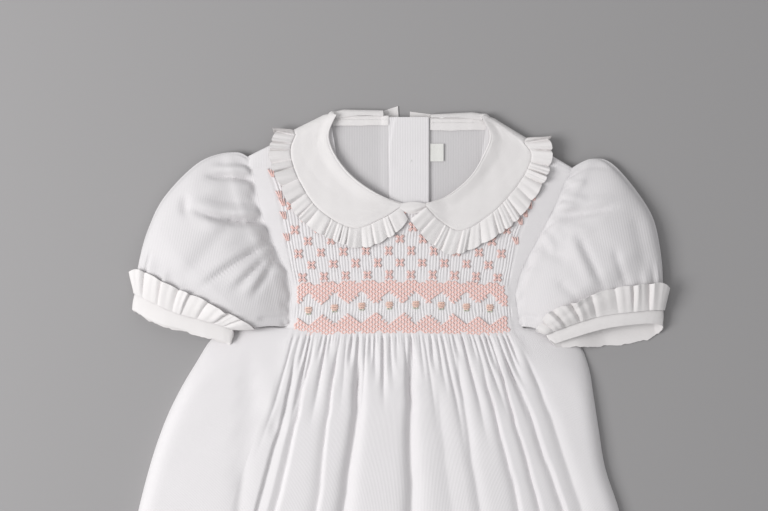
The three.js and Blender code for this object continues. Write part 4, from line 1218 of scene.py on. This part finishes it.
def make_size_tab():
    low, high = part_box("size_tab")
    u = np.linspace(low.x / MM, high.x / MM, 12)
    V, U = grid(np.linspace(high.y / MM, low.y / MM, 14), u)
    z = high.z / MM + 0.5 * ease(U, u[0] + 4, u[-1]) + 0.1 * wander(V * 0.5, 9)
    return sewn("size_tab", "tab", np.stack([U, V, z], -1), np.stack([U, V], -1), thickness=TAB_CLOTH)


def make_button(name):
    """A four-holed button, at the size and place of its node."""
    low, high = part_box(name)
    radius = (high.x - low.x) / 2
    centre = (low + high) / 2
    bpy.ops.object.select_all(action="DESELECT")
    bpy.ops.mesh.primitive_cylinder_add(vertices=48, radius=radius, depth=high.z - low.z, location=centre)
    piece = bpy.context.active_object
    piece.name = piece.data.name = name + "_disc"
    bpy.ops.object.transform_apply(location=True, rotation=True, scale=True)
    apply_modifier(piece, "BEVEL", width=0.0005, segments=3)
    for dx, dy in ((-1, -1), (-1, 1), (1, -1), (1, 1)):
        spot = (centre.x + dx * 0.0012, centre.y + dy * 0.0012, centre.z)
        bpy.ops.object.select_all(action="DESELECT")
        bpy.ops.mesh.primitive_cylinder_add(vertices=12, radius=0.0005, depth=0.01, location=spot)
        drill = bpy.context.active_object
        apply_modifier(piece, "BOOLEAN", operation="DIFFERENCE", object=drill, solver="EXACT")
        bpy.data.objects.remove(drill, do_unlink=True)
    select_only(piece)
    bpy.ops.object.shade_smooth_by_angle(angle=math.radians(40))
    return dress(piece, "resin", [name])


# ---------------------------------------------------------------- stitches


class Stitches:
    """Many small threads gathered into one mesh."""

    AROUND = 5
    RINGS = ((0, 0.4), (0.16, 1), (0.84, 1), (1, 0.4))

    def __init__(self):
        self.points, self.faces = [], []

    def add(self, start, end, radius=0.36, arch=0.25):
        """Lay one thread between two points, raised in its middle."""
        start, end = np.array(start, float), np.array(end, float)
        along = end - start
        length = np.linalg.norm(along)
        if length < 1e-6:
            return
        along /= length
        side = np.cross(along, (0, 0, 1))
        side /= np.linalg.norm(side) + 1e-9
        up = np.cross(side, along)
        base = len(self.points)
        n = self.AROUND
        for share, size in self.RINGS:
            centre = start + along * length * share + up * arch * math.sin(math.pi * share)
            for k in range(n):
                turn = 2 * math.pi * k / n
                self.points.append(centre + (side * math.cos(turn) + up * math.sin(turn)) * radius * size)
        for ring in range(len(self.RINGS) - 1):
            for k in range(n):
                a, b = base + ring * n + k, base + ring * n + (k + 1) % n
                self.faces.append((a, b, b + n, a + n))
        self.faces.append(tuple(base + k for k in reversed(range(n))))
        last = base + (len(self.RINGS) - 1) * n
        self.faces.append(tuple(last + k for k in range(n)))

    def build(self, name, look):
        piece = make_object(name, self.points, self.faces)
        select_only(piece)
        bpy.ops.object.mode_set(mode="EDIT")
        bpy.ops.mesh.select_all(action="SELECT")
        bpy.ops.mesh.normals_make_consistent(inside=False)
        bpy.ops.object.mode_set(mode="OBJECT")
        return dress(piece, look)


def smocking_place(x, y):
    """A place on top of the pleats."""
    return x, y, float(chest_level(np.asarray(x, float), max(y, 3.0))) + 0.3


def on_smocking(x, y, margin=0.01):
    p = gather_place(x, y)
    return margin < p < 1 - margin and not inside_neck(np.array(x), np.array(y + 1.5))


def stitch_line(stitches, start, end, radius):
    """Lay a thread on the pleats, where both its ends are on the smocking."""
    if on_smocking(*start) and on_smocking(*end):
        stitches.add(smocking_place(*start), smocking_place(*end), radius)


def make_trellis():
    """Two bands of zigzag stitches, whose rows meet in a net of lozenges."""
    stitches = Stitches()
    for row in range(16):
        for k in range(-40, 42):
            x0 = -5 + k * TRELLIS_PITCH
            x1 = x0 + TRELLIS_PITCH
            middle = (x0 + x1) / 2
            offset, bow = flower_offset(middle), band_curve(middle)
            ripple = 0.9 * math.cos(2 * math.pi * (middle - 2) / 17.6)
            upper, lower = 43.4 - row * TRELLIS_STEP, -5.2 + row * TRELLIS_STEP
            half = TRELLIS_STEP / 2 * (1 if (k + row) % 2 == 0 else -1)
            for y, inside in ((upper, lerp(*UPPER_BAND_FOOT, offset) < upper < 41.8 + ripple),
                              (lower, -2.0 - ripple < lower < lerp(*LOWER_BAND_TOP, offset))):
                if inside:
                    stitch_line(stitches, (x0, y + bow - half), (x1, y + bow + half), 0.9)
    return stitches.build("trellis_stitches", "pink")


def make_crosses():
    """Crosses of doubled threads, and short stitches at the smocking's sides."""
    stitches = Stitches()
    rng = np.random.default_rng(5)
    for share, y in stitch_cells():
        x = lerp(*gather_edges(y), share)
        lean = (share - 0.5) * 0.5 * ease(y, 90, 130)
        wide, tall = 3.0 * rng.uniform(0.9, 1.1), 3.2 * rng.uniform(0.9, 1.1)
        if not all(on_smocking(x + dx * (wide + 1), y + dy * tall) for dx in (-1, 1) for dy in (-1, 1)):
            continue
        for side in (-1, 1):
            for end in (-1, 1):
                for shift in (-0.42, 0.42):
                    inner = (x + side * 0.45 + shift, y + end * 0.5 - side * end * shift)
                    outer = (x + side * wide + shift + lean * end * 3, y + end * tall - side * end * shift)
                    stitch_line(stitches, inner, outer, 0.66)
    for x, y in EDGE_MARKS:
        for slant in (-2.6, -0.4, 1.9):
            low, high = (x + 0.35 * slant + 0.9, y - 3.4), (x + slant - 0.9, y + 3.2)
            stitches.add(smocking_place(*low), smocking_place(*high), 0.6)
    return stitches.build("cross_stitches", "pink")


def make_flowerets():
    """Flowerets of four level stitches, each with two leaves."""
    petals, leaves = Stitches(), Stitches()
    for x, y in FLOWERETS:
        for dy, half in ((2.6, 2.9), (1.2, 3.4), (-0.2, 3.2), (-1.6, 2.2)):
            stitch_line(petals, (x - half, y + dy), (x + half, y + dy + 0.2), 0.62)
        for side in (-1, 1):
            stitch_line(leaves, (x + side * 2.2, y - 2.0), (x + side * 0.5, y - 3.4), 0.4)
    petals.build("floweret_petals", "rose")
    leaves.build("floweret_leaves", "green")


def make_seam_stitches():
    """The line of stitching on the bindings, and two loose threads on the lap."""
    stitches = Stitches()
    for side, start, end in (("left", -56, -18), ("right", 20, 56)):
        level = NECK_LIFT + 2 * CAD_CLOTH + SEAM + 0.62
        for x in np.arange(start, end, 2.4):
            rise = climb(x) if side == "left" else 0
            y = 178.6 if side == "left" else 175.9
            stitches.add((x, y, level + rise), (x + 1.8, y, level + rise), 0.13, 0.05)
    level = NECK_LIFT + 3 * CAD_CLOTH + 2 * SEAM + 0.1
    for dx, dy in ((-0.8, 0), (0.6, 0.5)):
        stitches.add((2.6 + dx, 142 + dy, level), (2.6 + dx * 0.2, 144 + dy, level), 0.2, 0.1)
    return stitches.build("seam_stitches", "white_thread")


# ---------------------------------------------------------------- settings and operators


class RomperCloth(bpy.types.PropertyGroup):
    """Colours and cloth of the romper."""

    ribbed_colour: bpy.props.FloatVectorProperty(
        name="Ribbed Cotton", description="Colour of the body and sleeves", subtype="COLOR",
        size=3, min=0, max=1, default=(0.80, 0.775, 0.785))
    plain_colour: bpy.props.FloatVectorProperty(
        name="Plain Cotton", description="Colour of the collar, frills and bands", subtype="COLOR",
        size=3, min=0, max=1, default=(0.83, 0.80, 0.795))
    thread_colour: bpy.props.FloatVectorProperty(
        name="Smocking Thread", description="Colour of the smocking thread", subtype="COLOR",
        size=3, min=0, max=1, default=(1.0, 0.68, 0.63))
    rib_pitch: bpy.props.FloatProperty(
        name="Rib Pitch", description="Width of one cord of the ribbed cloth", subtype="DISTANCE",
        unit="LENGTH", min=0.0005, default=0.0014)


class RomperStage(bpy.types.PropertyGroup):
    """Surface, lamps and camera."""

    surface_colour: bpy.props.FloatVectorProperty(
        name="Surface", description="Colour of the surface that the romper lies on", subtype="COLOR",
        size=3, min=0, max=1, default=(0.335, 0.326, 0.329))
    camera_height: bpy.props.FloatProperty(
        name="Camera Height", description="Height of the camera over the surface", subtype="DISTANCE",
        unit="LENGTH", min=0.2, default=1.5413)
    key_power: bpy.props.FloatProperty(
        name="Key Lamp", description="Power of the lamp at the upper left", subtype="POWER", unit="POWER",
        min=0, default=25.6)


class ROMPER_OT_front(bpy.types.Operator):
    """Model the pleated front and its gathers"""

    bl_idname = "romper.front"
    bl_label = "Front"

    def execute(self, context):
        make_front()
        return {"FINISHED"}


class ROMPER_OT_collar(bpy.types.Operator):
    """Model both collar halves and their frills"""

    bl_idname = "romper.collar"
    bl_label = "Collar"

    def execute(self, context):
        for side in ("left", "right"):
            make_collar(side)
            make_collar_frill(side)
        make_neck_fold()
        return {"FINISHED"}


class ROMPER_OT_sleeves(bpy.types.Operator):
    """Model the puff sleeves, their cuff bands and frills"""

    bl_idname = "romper.sleeves"
    bl_label = "Sleeves"

    def execute(self, context):
        for side in ("left", "right"):
            sleeve = make_sleeve(side)
            make_cuff_band(side)
            make_cuff_frill(side)
        return {"FINISHED"}


class ROMPER_OT_legs(bpy.types.Operator):
    """Model the leg bands"""

    bl_idname = "romper.legs"
    bl_label = "Leg Bands"

    def execute(self, context):
        for side in LEGS:
            make_leg_band(side)
        return {"FINISHED"}


class ROMPER_OT_back(bpy.types.Operator):
    """Finish the back halves, and model the lap, bindings, tab and buttons"""

    bl_idname = "romper.back"
    bl_label = "Back"

    def execute(self, context):
        for side in ("left", "right"):
            make_back_half(side)
        make_lap_facing()
        for side in ("left", "right"):
            make_back_binding(side)
        make_size_tab()
        for i in (1, 2, 3):
            make_button(f"button_{i}")
        return {"FINISHED"}


class ROMPER_OT_stitches(bpy.types.Operator):
    """Work the smocking stitches, flowerets and seam stitches"""

    bl_idname = "romper.stitches"
    bl_label = "Stitches"

    def execute(self, context):
        make_trellis()
        make_crosses()
        make_flowerets()
        make_seam_stitches()
        return {"FINISHED"}


class ROMPER_OT_stage(bpy.types.Operator):
    """Lay the surface, and set the lamps, the camera and the view"""

    bl_idname = "romper.stage"
    bl_label = "Stage"

    def execute(self, context):
        scene = context.scene
        stage = scene.romper_stage
        bpy.ops.object.select_all(action="DESELECT")
        bpy.ops.mesh.primitive_plane_add(size=FLOOR_SIZE, location=(0, 0, FLOOR_LEVEL))
        floor = context.active_object
        floor.name = "surface"
        floor.data.materials.append(floor_finish("surface_finish", tuple(stage.surface_colour)))
        self.add_lamp("key_lamp", stage.key_power, **KEY_LAMP)
        self.add_lamp("fill_lamp", stage.key_power, **FILL_LAMP)
        world = bpy.data.worlds.new("soft_room")
        world.use_nodes = True
        background = world.node_tree.nodes["Background"]
        background.inputs["Color"].default_value = ROOM_COLOUR
        background.inputs["Strength"].default_value = ROOM_STRENGTH
        scene.world = world
        camera = bpy.data.objects.new("camera", bpy.data.cameras.new("camera"))
        camera.data.lens = CAMERA_LENS
        camera.data.sensor_width = CAMERA_SENSOR
        camera.location = (*CAMERA_PLACE, stage.camera_height)
        scene.collection.objects.link(camera)
        scene.camera = camera
        scene.view_settings.view_transform = "Standard"
        return {"FINISHED"}

    def add_lamp(self, name, power, place, size, share):
        """A square lamp that faces the middle of the romper, with its share of the power."""
        lamp = bpy.data.objects.new(name, bpy.data.lights.new(name, "AREA"))
        lamp.data.energy = power * share
        lamp.data.size = size
        lamp.location = place
        lamp.rotation_euler = (-lamp.location).to_track_quat("-Z", "Y").to_euler()
        bpy.context.scene.collection.objects.link(lamp)


class ROMPER_PT_panel(bpy.types.Panel):
    """The romper's pieces and settings"""

    bl_label = "Romper"
    bl_space_type = "VIEW_3D"
    bl_region_type = "UI"
    bl_category = "Romper"

    def draw(self, context):
        cloth, stage = context.scene.romper_cloth, context.scene.romper_stage
        for group, names in ((cloth, ("ribbed_colour", "plain_colour", "thread_colour", "rib_pitch")),
                             (stage, ("surface_colour", "camera_height", "key_power"))):
            for name in names:
                self.layout.prop(group, name)
        for operator in OPERATORS:
            self.layout.operator(operator.bl_idname)


OPERATORS = (ROMPER_OT_back, ROMPER_OT_front, ROMPER_OT_collar, ROMPER_OT_sleeves, ROMPER_OT_legs,
             ROMPER_OT_stitches, ROMPER_OT_stage)
CLASSES = (RomperCloth, RomperStage, *OPERATORS, ROMPER_PT_panel)


def register():
    for item in CLASSES:
        bpy.utils.register_class(item)
    bpy.types.Scene.romper_cloth = bpy.props.PointerProperty(type=RomperCloth)
    bpy.types.Scene.romper_stage = bpy.props.PointerProperty(type=RomperStage)


def unregister():
    del bpy.types.Scene.romper_stage
    del bpy.types.Scene.romper_cloth
    for item in reversed(CLASSES):
        bpy.utils.unregister_class(item)


def main():
    register()
    bpy.ops.romper.back()
    bpy.ops.romper.front()
    bpy.ops.romper.collar()
    bpy.ops.romper.sleeves()
    bpy.ops.romper.legs()
    bpy.ops.romper.stitches()
    bpy.ops.romper.stage()


if __name__ == "__main__":
    main()
